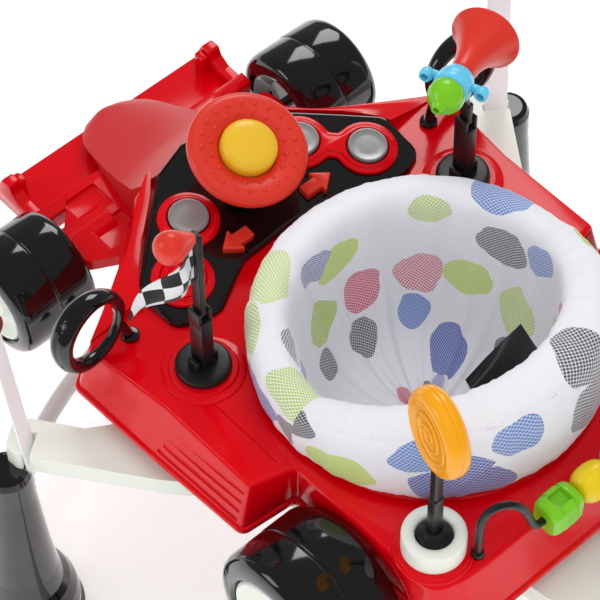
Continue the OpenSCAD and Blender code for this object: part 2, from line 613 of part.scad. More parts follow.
// local z runs from the bulb to the bell's mouth
module at_horn() at_datum() translate(horn_c) rotate([0, 98, 201.9]) children();
module horn_bulb() color([0.48, 0.76, 0.2]) at_horn() rotate_extrude()
  polygon([[0, -44], [4, -44], [5.5, -42], [5.5, -38], [11, -35], [16, -30], [18, -23], [17, -14.3],
    [0, -14.3]]);
module horn_collar() color([0.42, 0.8, 0.9]) at_horn() {
  translate([0, 0, -14]) cylinder(r1 = 18, r2 = 19, h = 10);
  translate([0, 0, -4]) cylinder(r1 = 19, r2 = 15, h = 15);
  for (s = [-1, 1]) {
    rotate([s * 90, 0, 0]) translate([0, -2, 14]) cylinder(r = 4, h = 12);
    translate([0, s * 30, -10]) difference() {
      cylinder(r = 7, h = 15);
      translate([0, 0, -1]) cylinder(r = 3.6, h = 10);
    }
  }
}
module horn_bell() color([0.8, 0.08, 0.1]) at_horn() translate([0, 0, 11.2]) rotate_extrude()
  polygon([[0, 0], [12, 0], [13, 14], [17, 32], [24, 48], [33.5, 60], [35, 62], [34, 64.5], [30, 63],
    [20, 52], [12, 38], [8, 20], [7, 6], [0, 6]]);

oval_c = [146, 288];
module oval_base() color(cream) at_datum() place(1, oval_c, 4.2) rotate_extrude()
  polygon([[17.5, 0], [29, 0], [30, 3], [30, 22], [28, 26], [23, 26], [19, 20], [17.5, 12]]);
disc_c = 188;
disc_r = 42;
module oval_stalk() color([0.05, 0.05, 0.05]) at_datum() place(1, oval_c, 4.3) {
  rotate_extrude() polygon([[0, 0], [16.8, 0], [15, 12], [9, 28], [7, 32], [0, 32]]);
  translate([-6, -5, 30]) cube([12, 10, 52]);
  translate([-5, -4, 80]) cube([10, 8, disc_c - disc_r - 84.4]);
}
// a thick round disc facing outwards, with a raised spiral on its face
module oval_disc() color([0.95, 0.62, 0.05]) at_datum() place(1, oval_c, disc_c)
  rotate([0, 87, -16]) difference() {
    rotate_extrude($fn = 96) polygon([[0, -12], [34, -12], [39, -10], [disc_r - 0.6, -6], [disc_r, 0],
      [disc_r - 0.6, 6], [39, 10], [34, 12], [31, 10.5], [0, 10.5]]);
    for (r = [10, 20]) translate([0, 0, 9]) difference() {
      cylinder(r = r + 2, h = 4);
      translate([0, 0, -1]) cylinder(r = r, h = 6);
    }
  }

wire_r = 4;
wire_y = 342;
wire_z = 20.5;
wire_foot = [121, 319];
foot_r = 6.5;
// bent rod: feet on the deck, an arch, and a straight run that carries the beads
module bead_wire() color([0.05, 0.05, 0.05]) at_datum() {
  f = wire_foot;
  both_sides() moulded() {
    translate([f[0], f[1], 0.2]) cylinder(r1 = foot_r, r2 = 5, h = 6);
    rod([f[0], f[1], 1], [f[0] - 1, f[1], 52], wire_r);
    bend([f[0] - 1, f[1], 52], [113, 323, 69]);
    bend([113, 323, 69], [100, 331, 75]);
    bend([100, 331, 75], [86, 338, 62]);
    bend([86, 338, 62], [76, wire_y, wire_z + 10]);
    bend([76, wire_y, wire_z + 10], [66, wire_y, wire_z]);
    translate([66, wire_y, wire_z]) sphere(r = wire_r + 0.8, $fn = 16);
  }
  rod([-66, wire_y, wire_z], [66, wire_y, wire_z], wire_r);
}
module bend(a, b) {
  translate(a) sphere(r = wire_r, $fn = 16);
  rod(a, b, wire_r);
}
bead_step = 43;
module bead_green() color([0.45, 0.75, 0.15]) at_datum() translate([bead_step, wire_y, wire_z])
  rotate([0, 90, 0]) difference() {
    translate([0, 0, -19]) linear_extrude(38) polygon(rounded([[-19.5, -17, 8], [19.5, -17, 8],
      [19.5, 17, 8], [-19.5, 17, 8]]));
    cylinder(r = wire_r + fit, h = 60, center = true);
    translate([-25, -8, -9]) cube([12, 16, 18]);
  }
module bead_yellow() color([0.95, 0.8, 0.1]) at_datum() translate([0, wire_y, wire_z])
  rotate([0, 90, 0]) rotate_extrude() polygon([[wire_r + fit, -20], [9, -19], [15, -14], [18, -5],
    [18, 5], [15, 14], [9, 19], [wire_r + fit, 20]]);
module bead_blue() color([0.35, 0.75, 0.9]) at_datum() translate([-bead_step, wire_y, wire_z])
  rotate([0, 90, 0]) rotate_extrude() polygon([[wire_r + fit, -19], [14, -19], [18, -15], [18, 15],
    [14, 19], [wire_r + fit, 19]]);

// ---- fasteners, straps -----------------------------------------------------

module battery_door() color(red) at_datum() translate([-35, -120, -7.3]) cube([70, 50, 3]);
module tray_screws() color(grey) at_datum() both_sides() for (s = screw_spots)
  translate([s[0], s[1], -arm_bottom + 13.95]) {
    translate([0, 0, -3]) cylinder(r = 4, h = 3);
    cylinder(r = 1.9, h = 30);
  }

strap_lean = [0.05, -0.08];
tail = 22;
module one_strap() rotate([0, atan(norm(strap_lean)), 0]) translate([-web_t / 2, -web_w / 2, -tail])
  cube([web_t, web_w, tail + strap_top + arm_bottom]);
module at_straps() at_datum() {
  for (s = [-1, 1]) translate([s * front_slot[0], front_slot[1], -arm_bottom])
    rotate([0, 0, s > 0 ? atan2(strap_lean[1], strap_lean[0]) : 180 - atan2(strap_lean[1], strap_lean[0])])
      children();
  translate([0, rear_slot[1], -arm_bottom]) rotate([0, 0, 90]) children();
}
module straps() color([0.93, 0.93, 0.93]) at_straps() one_strap();
module strap_rings() color(grey) at_straps() rotate([0, atan(norm(strap_lean)), 0])
  translate([0, 0, strap_top + arm_bottom + 8.5]) rotate([0, 90, 0]) difference() {
    union() {
      linear_extrude(5, center = true) polygon(rounded([[-9, -18, 6], [8, -18, 6], [8, 18, 6], [-9, 18, 6]]));
      translate([-26, 0, 0]) cylinder(r = 18, h = 5, center = true);
    }
    linear_extrude(12, center = true) polygon([[-4, -13], [4, -13], [4, 13], [-4, 13]]);
    translate([-26, 0, 0]) cylinder(r = 12, h = 12, center = true);
  }

// ---- seat ------------------------------------------------------------------

ring_out = seat_hole_r + 14;
module seat_ring() color([0.9, 0.9, 0.9]) at_datum() translate([0, seat_y, 0]) rotate_extrude($fn = 128)
  polygon([[seat_hole_r - 10, -30], [seat_hole_r - gap, -30], [seat_hole_r - gap, collar_h + gap],
    [ring_out, collar_h + gap], [ring_out, collar_h + 4], [seat_hole_r - 10, collar_h + 4]]);
// soft bowl: hem, rolled rim and inner wall, with a leg opening on each side
module seat_pad() color([0.9, 0.9, 0.93]) at_datum() translate([0, seat_y, 0]) difference() {
  rotate_extrude($fn = 96) polygon([[seat_hole_r - 10.3, collar_h + 4.3], [ring_out + 0.5, collar_h + 4.3],
    [ring_out + 0.5, 11], [171, 10], [177, 14], [180, 24], [183, 38], [182, 50], [175, 61], [163, 68],
    [153, 68], [143, 60], [135, 42], [129, 18], [125, -8], [120, -40], [112, -70], [99, -94],
    [84, -110], [88, -114], [103, -98], [116, -73], [124, -42], [129.5, -10], [134, 0],
    [seat_hole_r - 10.3, 8]]);
  both_sides() translate([60, -66, -84]) rotate([0, 90, -48]) cylinder(r = 26, h = 60);
}
// the black fabric floor of the seat
module seat_sling() color([0.12, 0.12, 0.12]) at_datum() translate([0, seat_y, 0])
  rotate_extrude($fn = 96) polygon([[0, -132], [45, -129], [70, -121], [83, -112], [87.5, -115.3],
    [73, -125.5], [47, -133.5], [0, -136.5]]);

// ---- assembly --------------------------------------------------------------

base_tubes();
tower_left();
tower_right();
tower_rear();
grip_pads();
caster_fork_left();
caster_fork_right();
caster_fork_rear();
caster_wheel_left();
caster_wheel_right();
caster_wheel_rear();
spider_frame();
height_pins();
tray_shell();
front_wing();
nose_cowl();
axle_plate();
wheel_axles();
dashboard();
control_rings();
mirrors();
toy_bases();
oval_base();
bead_wire();
battery_door();
tray_screws();
straps();
strap_rings();
seat_ring();
seat_pad();
seat_sling();
steering_wheel();
horn_button();
button_front_left();
button_front_right();
button_rear_right();
arrow_left();
arrow_right();
tyre_front_left();
tyre_front_right();
tyre_rear_left();
tyre_rear_right();
hub_front_left();
hub_front_right();
hub_rear_left();
hub_rear_right();
flag_stalk_lower();
flag_stalk_upper();
flag_knob();
flag_cloth();
horn_stalk_lower();
horn_stalk_upper();
horn_bulb();
horn_collar();
horn_bell();
oval_stalk();
oval_disc();
bead_green();
bead_yellow();
bead_blue();
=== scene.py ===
"""Racing-car activity walker: pieces, finishes and studio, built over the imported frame.

Lengths in the tables below are millimetres from the toy row, with Z = 0 on the tray deck.
An outline is half of a shape, front to back, as [x, y, corner radius]."""
import json
import math

import bmesh
import bpy
from bpy.props import FloatProperty, FloatVectorProperty, IntProperty, PointerProperty
from mathutils import Matrix, Vector, noise


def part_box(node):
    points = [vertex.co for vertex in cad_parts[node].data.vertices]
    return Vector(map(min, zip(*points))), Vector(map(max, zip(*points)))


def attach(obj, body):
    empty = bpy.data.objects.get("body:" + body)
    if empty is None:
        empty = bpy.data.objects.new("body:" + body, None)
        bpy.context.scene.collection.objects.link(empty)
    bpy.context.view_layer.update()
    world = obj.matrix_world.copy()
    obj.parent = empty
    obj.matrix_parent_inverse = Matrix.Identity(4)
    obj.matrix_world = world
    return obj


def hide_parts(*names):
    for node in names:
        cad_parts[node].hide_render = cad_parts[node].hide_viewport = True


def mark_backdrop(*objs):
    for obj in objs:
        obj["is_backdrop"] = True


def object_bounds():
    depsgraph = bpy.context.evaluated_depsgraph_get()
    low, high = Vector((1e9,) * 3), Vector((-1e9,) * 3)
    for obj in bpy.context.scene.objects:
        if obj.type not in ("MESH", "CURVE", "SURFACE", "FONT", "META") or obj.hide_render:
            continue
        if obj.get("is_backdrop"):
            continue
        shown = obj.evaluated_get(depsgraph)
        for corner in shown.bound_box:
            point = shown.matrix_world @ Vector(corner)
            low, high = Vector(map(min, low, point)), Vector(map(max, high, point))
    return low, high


bl_info = {
    "name": "Racing walker",
    "version": (1, 0, 0),
    "blender": (4, 5, 0),
    "location": "View3D > Sidebar > Walker",
    "description": "Builds the baby walker's pieces, finishes and studio",
    "category": "Add Mesh",
}

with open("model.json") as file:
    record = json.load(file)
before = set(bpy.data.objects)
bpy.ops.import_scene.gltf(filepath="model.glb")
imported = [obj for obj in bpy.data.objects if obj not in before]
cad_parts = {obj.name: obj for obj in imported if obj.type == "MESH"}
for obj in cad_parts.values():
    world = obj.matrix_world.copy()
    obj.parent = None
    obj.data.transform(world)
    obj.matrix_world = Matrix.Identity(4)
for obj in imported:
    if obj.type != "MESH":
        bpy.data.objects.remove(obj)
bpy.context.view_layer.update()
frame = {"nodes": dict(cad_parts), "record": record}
MM = 0.001
TOY_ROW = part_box("toy_bases")
# the toy row's middle on the deck; the toy bases stand 5.2 mm above it
DATUM = Vector((0.0, (TOY_ROW[0].y + TOY_ROW[1].y) / 2, TOY_ROW[0].z - 5.2 * MM))

DECK = [[0, -212, 0], [64, -212, 6], [85, -203, 10], [115, -165, 30], [172, -130, 20],
        [236, -92, 8], [225, 6, 40], [225, 127, 6], [179, 140, 8], [178, 262, 8], [183, 290, 20],
        [176, 322, 22], [146, 331, 20], [118, 333, 20], [0, 333, 0]]
FLANGE = [[0, -217, 0], [70, -217, 6], [96, -206, 10], [124, -178, 30], [178, -142, 20],
          [246, -98, 8], [243, 2, 40], [237, 130, 6], [176.5, 136, 8], [176, 290, 6], [184, 308, 12],
          [184, 334, 22], [150, 345, 20], [118, 348, 20], [0, 348, 0]]
DASH = [[0, -206, 0], [20, -206, 12], [61, -193, 16], [126, -136, 20], [161, -104, 16],
        [159, -52, 16], [136, -42, 12], [112, -38, 20], [84, -54, 20], [57, -68, 20], [0, -70, 0]]
# nose shield: y, half-width, height of the edge, rise to the crown
COWL = [[-362, 12, -76, 4], [-358, 24, -75, 6], [-351, 34, -74, 7], [-340, 43, -71, 8],
        [-326, 48, -66, 9], [-310, 52, -61, 10], [-281, 59, -50, 11], [-255, 64, -39, 12],
        [-229, 68, -26, 15], [-213, 65, -8, 18], [-204, 60, 7, 15], [-196, 50, 19, 5]]
SEAT_Y = 133
HOLE_R = 150
DASH_TILT = math.radians(7.6)
BUTTONS = {"button_front_left": (72, -134), "button_front_right": (-72, -134),
           "button_rear_right": (-120, -86)}
SPEAKER = (120, -86)
ARROW = (51, -86)
STEER = (0, -127, 71)
STEER_UP = (0, math.sin(math.radians(20)), math.cos(math.radians(20)))
# along the car and above the deck
FRONT_AXLE = (-249, -88)
REAR_AXLE = (220, -80)
AXLE_R = 6
BORE = 6.05
# the hinged toys' poles: sideways, their foot pin and their middle pin
TOY_X = 169
FOOT_PIN = 18.2
MID_PIN = 92
POLE_HALF = 3.8
SPIRAL = (146, 288)
WIRE_FOOT = (121, 319)
WIRE = (342, 20.5)
BEAD_STEP = 43
BEAD_BORE = 4.1
# webbing: each slot and the way its strap leans
STRAP_LEAN = (0.05, -0.08)
STRAPS = ((313, -94, math.atan2(STRAP_LEAN[1], STRAP_LEAN[0])),
          (-313, -94, math.pi - math.atan2(STRAP_LEAN[1], STRAP_LEAN[0])), (0, 405, math.pi / 2))


# ---- points and outlines ----------------------------------------------------

def at(x, y, z=0.0):
    """A place in the tables, in the frame's metres."""
    return Vector((x * MM, y * MM, z * MM)) + DATUM


def arc_corner(a, p, b, n):
    """The corner p of an outline as an arc of n steps; a and b are its neighbours."""
    c = Vector(p[:2])
    u = (Vector(a[:2]) - c).normalized()
    v = (Vector(b[:2]) - c).normalized()
    half = math.acos(max(-1, min(1, u.dot(v)))) / 2
    centre = c + (u + v).normalized() * (p[2] / math.sin(half))
    start = c + u * (p[2] / math.tan(half)) - centre
    turn = (math.pi - 2 * half) * (-1 if u.cross(v) > 0 else 1)
    out = []
    for i in range(n + 1):
        t = turn * i / n
        out.append((centre.x + start.x * math.cos(t) - start.y * math.sin(t),
                    centre.y + start.x * math.sin(t) + start.y * math.cos(t)))
    return out


def rounded(pts, n=5):
    """An outline of [x, y, corner radius] with its corners rounded."""
    m = len(pts)
    out = []
    for i, p in enumerate(pts):
        out += arc_corner(pts[i - 1], p, pts[(i + 1) % m], n) if p[2] > 0 else [(p[0], p[1])]
    return out


def whole(half):
    """The right half of an outline and its mirror image."""
    return half + [[-p[0], p[1], p[2]] for p in reversed(half) if p[0] > 0.01]


def inset(pts, d):
    """Every corner of a counter-clockwise outline moved inwards by d."""
    out = []
    m = len(pts)
    for i in range(m):
        p = Vector(pts[i])
        a = (p - Vector(pts[i - 1])).normalized()
        b = (Vector(pts[(i + 1) % m]) - p).normalized()
        n = Vector((-a.y - b.y, a.x + b.x)).normalized()
        k = max(0.4, n.dot(Vector((-a.y, a.x))))
        q = p + n * (d / k)
        out.append((q.x, q.y))
    return out


def there_and_back(run, far=0.0):
    """A run of [radius, place] and its mirror image about half of far, in one profile."""
    return run + [[r, far - x] for r, x in reversed(run)]


def level(pts, z):
    return [(p[0], p[1], z) for p in pts]


def circle(r, n, y):
    return [(r * math.cos(math.tau * i / n), y + r * math.sin(math.tau * i / n)) for i in range(n)]


def spline(pts, steps):
    """A smooth run of points through the given ones."""
    v = [Vector(p) for p in pts]
    out = []
    for i in range(len(v) - 1):
        a, b, c, d = v[max(i - 1, 0)], v[i], v[i + 1], v[min(i + 2, len(v) - 1)]
        for k in range(steps):
            t = k / steps
            out.append(0.5 * (2 * b + (c - a) * t + (2 * a - 5 * b + 4 * c - d) * t * t
                              + (3 * b - a - 3 * c + d) * t ** 3))
    return out + [v[-1]]


# ---- modelling --------------------------------------------------------------

def only(*objs):
    bpy.ops.object.select_all(action="DESELECT")
    for o in objs:
        o.select_set(True)
    bpy.context.view_layer.objects.active = objs[0]
    return objs[0]


def skin(name, rings, caps=True, raw=False):
    """A circle set out on the first ring, then extruded through the others."""
    bpy.ops.object.select_all(action="DESELECT")
    bpy.ops.mesh.primitive_circle_add(vertices=len(rings[0]), radius=1, location=(0, 0, 0),
                                      fill_type="NGON" if caps else "NOTHING")
    o = bpy.context.object
    o.name = o.data.name = name
    bpy.ops.object.mode_set(mode="EDIT")
    bm = bmesh.from_edit_mesh(o.data)
    key = bm.verts.layers.int.new("ring_key")
    for i, v in enumerate(bm.verts):
        v[key] = i
        v.co = Vector(rings[0][i]) if raw else at(*rings[0][i])
    bmesh.update_edit_mesh(o.data)
    bpy.ops.mesh.select_all(action="SELECT")
    for ring in rings[1:]:
        bpy.ops.mesh.extrude_region_move()
        bm = bmesh.from_edit_mesh(o.data)
        key = bm.verts.layers.int["ring_key"]
        for v in bm.verts:
            if v.select:
                v.co = Vector(ring[v[key]]) if raw else at(*ring[v[key]])
        bmesh.update_edit_mesh(o.data)
    tidy(o)
    return o


def tidy(o):
    """Merges doubles, drops degenerate faces and turns the normals outwards."""
    if o.mode != "EDIT":
        only(o)
        bpy.ops.object.mode_set(mode="EDIT")
    bpy.ops.mesh.select_all(action="SELECT")
    bpy.ops.mesh.remove_doubles(threshold=1e-6)
    bpy.ops.mesh.dissolve_degenerate(threshold=1e-7)
    bpy.ops.mesh.normals_make_consistent(inside=False)
    bpy.ops.object.mode_set(mode="OBJECT")


def prism(name, pts, z0, z1, edge=0.0):
    """An outline drawn out from z0 up to z1, its edges softened when edge is given."""
    if edge:
        return skin(name, [level(inset(pts, edge), z0), level(pts, z0 + edge),
                           level(pts, z1 - edge), level(inset(pts, edge * 0.35), z1 - edge * 0.35),
                           level(inset(pts, edge), z1)])
    return skin(name, [level(pts, z0), level(pts, z1)])


def lathe(name, profile, n=64, closed=False):
    """Turned about its own Z; profile is [radius, height] in millimetres."""
    rings = [[(p[0] * MM * math.cos(math.tau * i / n), p[0] * MM * math.sin(math.tau * i / n),
               p[1] * MM) for i in range(n)] for p in profile]
    if closed:
        return skin(name, rings + [rings[0]], caps=False, raw=True)
    return skin(name, rings, raw=True)


def put(o, origin, z=(0, 0, 1), x=(1, 0, 0)):
    """Moves a piece from the world's origin to its place, its own Z along z."""
    z = Vector(z).normalized()
    y = z.cross(Vector(x)).normalized()
    m = Matrix((y.cross(z), y, z)).transposed().to_4x4()
    m.translation = origin
    o.matrix_world = m
    only(o)
    bpy.ops.object.transform_apply(location=True, rotation=True, scale=True)
    return o


def rod(name, path, radius, n=16, steps=1):
    """A round bar along a smooth path; radius may be one value or one for each point."""
    run = spline(path, steps) if steps > 1 else [Vector(p) for p in path]
    rings = []
    side = Vector((0.3, 0.9, 0.2)).cross(run[1] - run[0]).normalized()
    for i, p in enumerate(run):
        t = (run[min(i + 1, len(run) - 1)] - run[max(i - 1, 0)]).normalized()
        side = (side - t * side.dot(t)).normalized()
        up = t.cross(side)
        r = radius[i] if hasattr(radius, "__len__") else radius
        rings.append([p + side * (r * math.cos(math.tau * k / n))
                      + up * (r * math.sin(math.tau * k / n)) for k in range(n)])
    return skin(name, rings, raw=True)


def block(name, x, y, z, edge=1.2):
    """A box between two corners with rounded edges; each axis is a (low, high) pair."""
    corners = [(x[0], y[0]), (x[1], y[0]), (x[1], y[1]), (x[0], y[1])]
    return round_edges(skin(name, [level(corners, h) for h in z]), edge)


def apply_modifier(o, m):
    only(o)
    bpy.ops.object.modifier_apply(modifier=m.name)


def round_edges(o, width, segments=3, angle=30):
    m = o.modifiers.new("rounding", "BEVEL")
    m.width = width * MM
    m.segments = segments
    m.limit_method = "ANGLE"
    m.angle_limit = math.radians(angle)
    m.use_clamp_overlap = True
    apply_modifier(o, m)
    return o


def carve(o, tool):
    """Cuts the tool's shape out of a piece and drops the tool."""
    m = o.modifiers.new("carve", "BOOLEAN")
    m.operation = "DIFFERENCE"
    m.object = tool
    m.solver = "EXACT"
    apply_modifier(o, m)
    bpy.data.objects.remove(tool, do_unlink=True)
    return o


def thicken(o, thickness, offset):
    m = o.modifiers.new("thickness", "SOLIDIFY")
    m.thickness = thickness * MM
    m.offset = offset
    apply_modifier(o, m)


def refine(o):
    m = o.modifiers.new("refine", "SUBSURF")
    m.levels = m.render_levels = 1
    apply_modifier(o, m)
    return o


def join(first, *others):
    only(first, *others)
    bpy.ops.object.join()
    return first


def mirrored(o):
    """A copy on the car's other side."""
    only(o)
    bpy.ops.object.duplicate()
    c = bpy.context.object
    bpy.ops.object.mode_set(mode="EDIT")
    bpy.ops.mesh.select_all(action="SELECT")
    bpy.ops.transform.mirror(constraint_axis=(True, False, False), center_override=(0, 0, 0))
    bpy.ops.mesh.normals_make_consistent(inside=False)
    bpy.ops.object.mode_set(mode="OBJECT")
    return c


def pair(o):
    """The piece with its mirror image on the car's other side, in one mesh."""
    return join(o, mirrored(o))


def piece(o, body, slot, *nodes, angle=40):
    """Finishes a piece: smooth up to the angle, its slot's material, its body, the nodes it shows."""
    only(o)
    bpy.ops.object.shade_smooth_by_angle(angle=math.radians(angle))
    o.data.materials.clear()
    o.data.materials.append(bpy.data.materials[slot])
    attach(o, body)
    if nodes:
        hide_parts(*nodes)
    return o


# ---- finishes ---------------------------------------------------------------

def tint(code):
    """An sRGB hex code as linear values."""
    out = []
    for i in (1, 3, 5):
        c = int(code[i:i + 2], 16) / 255
        out.append(c / 12.92 if c <= 0.04045 else ((c + 0.055) / 1.055) ** 2.4)
    return (*out, 1.0)


class Nodes:
    """Short calls for building one material's node tree."""

    def __init__(self, name):
        old = bpy.data.materials.get(name)
        if old:
            bpy.data.materials.remove(old)
        self.mat = bpy.data.materials.new(name)
        self.mat.use_nodes = True
        self.tree = self.mat.node_tree
        self.shader = self.tree.nodes["Principled BSDF"]

    def feed(self, socket, value):
        """Links another socket to this one, or sets its value."""
        if isinstance(value, bpy.types.NodeSocket):
            self.tree.links.new(value, socket)
        else:
            socket.default_value = value

    def add(self, kind, **values):
        n = self.tree.nodes.new("ShaderNode" + kind)
        for k, v in values.items():
            if k in n.inputs:
                self.feed(n.inputs[k], v)
            else:
                setattr(n, k, v)
        return n

    def math(self, op, a, b=0.0, clamp=False):
        n = self.add("Math", operation=op, use_clamp=clamp)
        self.feed(n.inputs[0], a)
        self.feed(n.inputs[1], b)
        return n.outputs[0]

    def mix(self, factor, a, b):
        n = self.add("Mix", data_type="RGBA")
        # the factor and the two colours among the node's many sockets
        for i, v in ((0, factor), (6, a), (7, b)):
            self.feed(n.inputs[i], v)
        return n.outputs[2]

    def set(self, **values):
        for k, v in values.items():
            self.feed(self.shader.inputs[k.replace("_", " ")], v)

    def coords(self):
        return self.add("TexCoord").outputs["Object"]

    def bump(self, height, distance):
        b = self.add("Bump", Height=height, Distance=distance * MM)
        b.inputs["Strength"].default_value = 1.0
        self.set(Normal=b.outputs["Normal"])


def moulded_plastic(name, colour, rough, coat=0.0, wave=0.06, grain=0.0, **more):
    """Injection-moulded plastic: a faint sink waviness breaks up the highlights, and the
    roughness drifts a little, so large faces don't look computed."""
    n = Nodes(name)
    co = n.coords()
    slow = n.add("TexNoise", Vector=co, Scale=9.0, Detail=1.0).outputs["Fac"]
    fine = n.add("TexNoise", Vector=co, Scale=900.0, Detail=2.0).outputs["Fac"]
    n.set(Roughness=n.math("ADD", rough - 0.025, n.math("MULTIPLY", slow, 0.05)),
          Base_Color=colour, Coat_Weight=coat, Coat_Roughness=0.06, IOR=1.49, **more)
    height = n.math("ADD", n.math("MULTIPLY", slow, wave), n.math("MULTIPLY", fine, grain))
    n.bump(height, 1.0)


def make_finishes():
    s = settings()
    # deep glossy body red
    moulded_plastic("red_gloss", s.body_colour, 0.15, coat=0.05, wave=1.6, Specular_IOR_Level=0.32)
    # the nose shield and battery door: the same red, scuffed satin
    moulded_plastic("red_satin", tint("#cb2a2c"), 0.36, wave=1.0, grain=0.02)
    # softer toy red of the wheel, horn and knobs
    moulded_plastic("red_toy", s.toy_colour, 0.32, wave=0.5, grain=0.01)
    # polished black of the tyres and towers, and the duller black of poles and wire
    moulded_plastic("black_gloss", s.tyre_colour, 0.10, coat=0.5, wave=0.7)
    moulded_plastic("black_satin", tint("#161617"), 0.34, wave=0.4, grain=0.02)
    # off-white polypropylene and painted steel tube
    moulded_plastic("cream", s.frame_colour, 0.38, wave=0.5, grain=0.01)
    moulded_plastic("tube_white", tint("#d4d5d4"), 0.32, wave=0.2)
    moulded_plastic("caster_grey", tint("#3a3a3b"), 0.45, wave=0.2)
    # clean bright toy plastics
    moulded_plastic("yellow", tint("#e8b828"), 0.28, wave=0.3)
    moulded_plastic("orange", tint("#f0a205"), 0.24, wave=0.5)
    moulded_plastic("green", tint("#78c41c"), 0.22, wave=0.5)
    moulded_plastic("blue", tint("#63c6e8"), 0.24, wave=0.4)
    moulded_plastic("bead_yellow", tint("#e8c814"), 0.2, wave=0.4)
    moulded_plastic("seat_white", tint("#e2e2e0"), 0.4, wave=0.3)
    # the buttons' silver paint, half metal
    moulded_plastic("silver", tint("#a2a2a3"), 0.34, wave=0.3, Metallic=0.55)
    moulded_plastic("rubber_black", tint("#1c1c1c"), 0.7, wave=0.2, grain=0.05)
    moulded_plastic("steel", tint("#a8a8aa"), 0.3, wave=0.1, Metallic=1.0)
    # thin webbing lets some light through from behind; a faint glow painted on it stands in for that light
    woven("webbing", "#fafafc", 1.3, Emission_Color=tint("#f4f4f8"), Emission_Strength=0.14)
    woven("sling_fabric", "#17171a", 1.0)
    printed_fabric("seat_fabric")
    chequered("flag_fabric")


def woven(name, code, pitch, **more):
    """Plain weave: crossing ridges a millimetre or so apart, with painted shade in the gaps."""
    n = Nodes(name)
    co = n.coords()
    x = n.add("SeparateXYZ", Vector=co).outputs
    k = math.tau / (pitch * MM)
    a = n.math("SINE", n.math("MULTIPLY", n.math("ADD", x["X"], x["Y"]), k))
    b = n.math("SINE", n.math("MULTIPLY", x["Z"], k))
    h = n.math("MULTIPLY", a, b)
    # painted shade: the colour darkens where the weave's bump is lowest, in the gaps between the threads
    painted_gap_shade = tuple(c * 0.8 for c in tint(code)[:3]) + (1,)
    n.set(Base_Color=n.mix(n.math("ADD", n.math("MULTIPLY", h, 0.4), 0.6, clamp=True), painted_gap_shade, tint(code)),
          Roughness=0.75, Sheen_Weight=0.2, **more)
    n.bump(h, 0.12)


def printed_fabric(name):
    """White polyester printed with half-tone blots in six colours; the blots and their dots
    are laid out by random cells over the fabric's own UV, which is in metres."""
    n = Nodes(name)
    uv = n.add("UVMap").outputs["UV"]
    wobble = n.add("TexNoise", Vector=uv, Scale=26.0, Detail=1.0).outputs["Color"]
    moved = n.add("VectorMath", operation="MULTIPLY_ADD")
    for socket, value in zip(moved.inputs, (wobble, (0.022, 0.022, 0), uv)):
        n.feed(socket, value)
    cell = n.add("TexVoronoi", Vector=moved.outputs[0], Scale=13.6, Randomness=0.8)
    cell.voronoi_dimensions = "2D"
    pick = n.add("SeparateColor", Color=cell.outputs["Color"]).outputs
    size = n.math("ADD", 0.25, n.math("MULTIPLY", pick["Green"], 0.2))
    blot = n.math("LESS_THAN", cell.outputs["Distance"], size)
    ramp = n.add("ValToRGB", Fac=pick["Red"])
    ramp.color_ramp.interpolation = "CONSTANT"
    inks = ["#1c3a92", "#26262b", "#a8c437", "#c92f57", "#4a78c2", "#3a3a40", "#b4cf3c", "#2a4fa8"]
    e = ramp.color_ramp.elements
    e[0].color = tint(inks[0])
    e[1].position, e[1].color = 1 / 8, tint(inks[1])
    for i, ink in enumerate(inks[2:], start=2):
        s = e.new(i / 8)
        s.color = tint(ink)
    turn = n.add("VectorRotate", Vector=uv, Angle=0.62)
    dots = n.add("TexVoronoi", Vector=turn.outputs[0], Scale=330.0, Randomness=0.0)
    dots.voronoi_dimensions = "2D"
    dot = n.math("LESS_THAN", dots.outputs["Distance"], 0.42)
    wash = n.mix(n.math("MULTIPLY", blot, n.math("MULTIPLY", pick["Blue"], 0.55)),
                 tint("#e4e4ea"), ramp.outputs["Color"])
    ink = n.math("MULTIPLY", blot, dot)
    n.set(Base_Color=n.mix(n.math("MULTIPLY", ink, 0.94), wash, ramp.outputs["Color"]),
          Roughness=0.62, Sheen_Weight=0.25)
    weave = n.add("TexNoise", Vector=n.coords(), Scale=1400.0, Detail=2.0).outputs["Fac"]
    n.bump(weave, 0.06)


def chequered(name):
    """Black and white squares over the flag's own UV, which is in metres."""
    n = Nodes(name)
    uv = n.add("UVMap").outputs["UV"]
    check = n.add("TexChecker", Vector=uv, Scale=62.0, Color1=tint("#0d0d10"), Color2=tint("#e4e4e8"))
    n.set(Base_Color=check.outputs["Color"], Roughness=0.6, Sheen_Weight=0.2)
    n.bump(n.add("TexNoise", Vector=n.coords(), Scale=1200.0).outputs["Fac"], 0.05)


# ---- car body ---------------------------------------------------------------

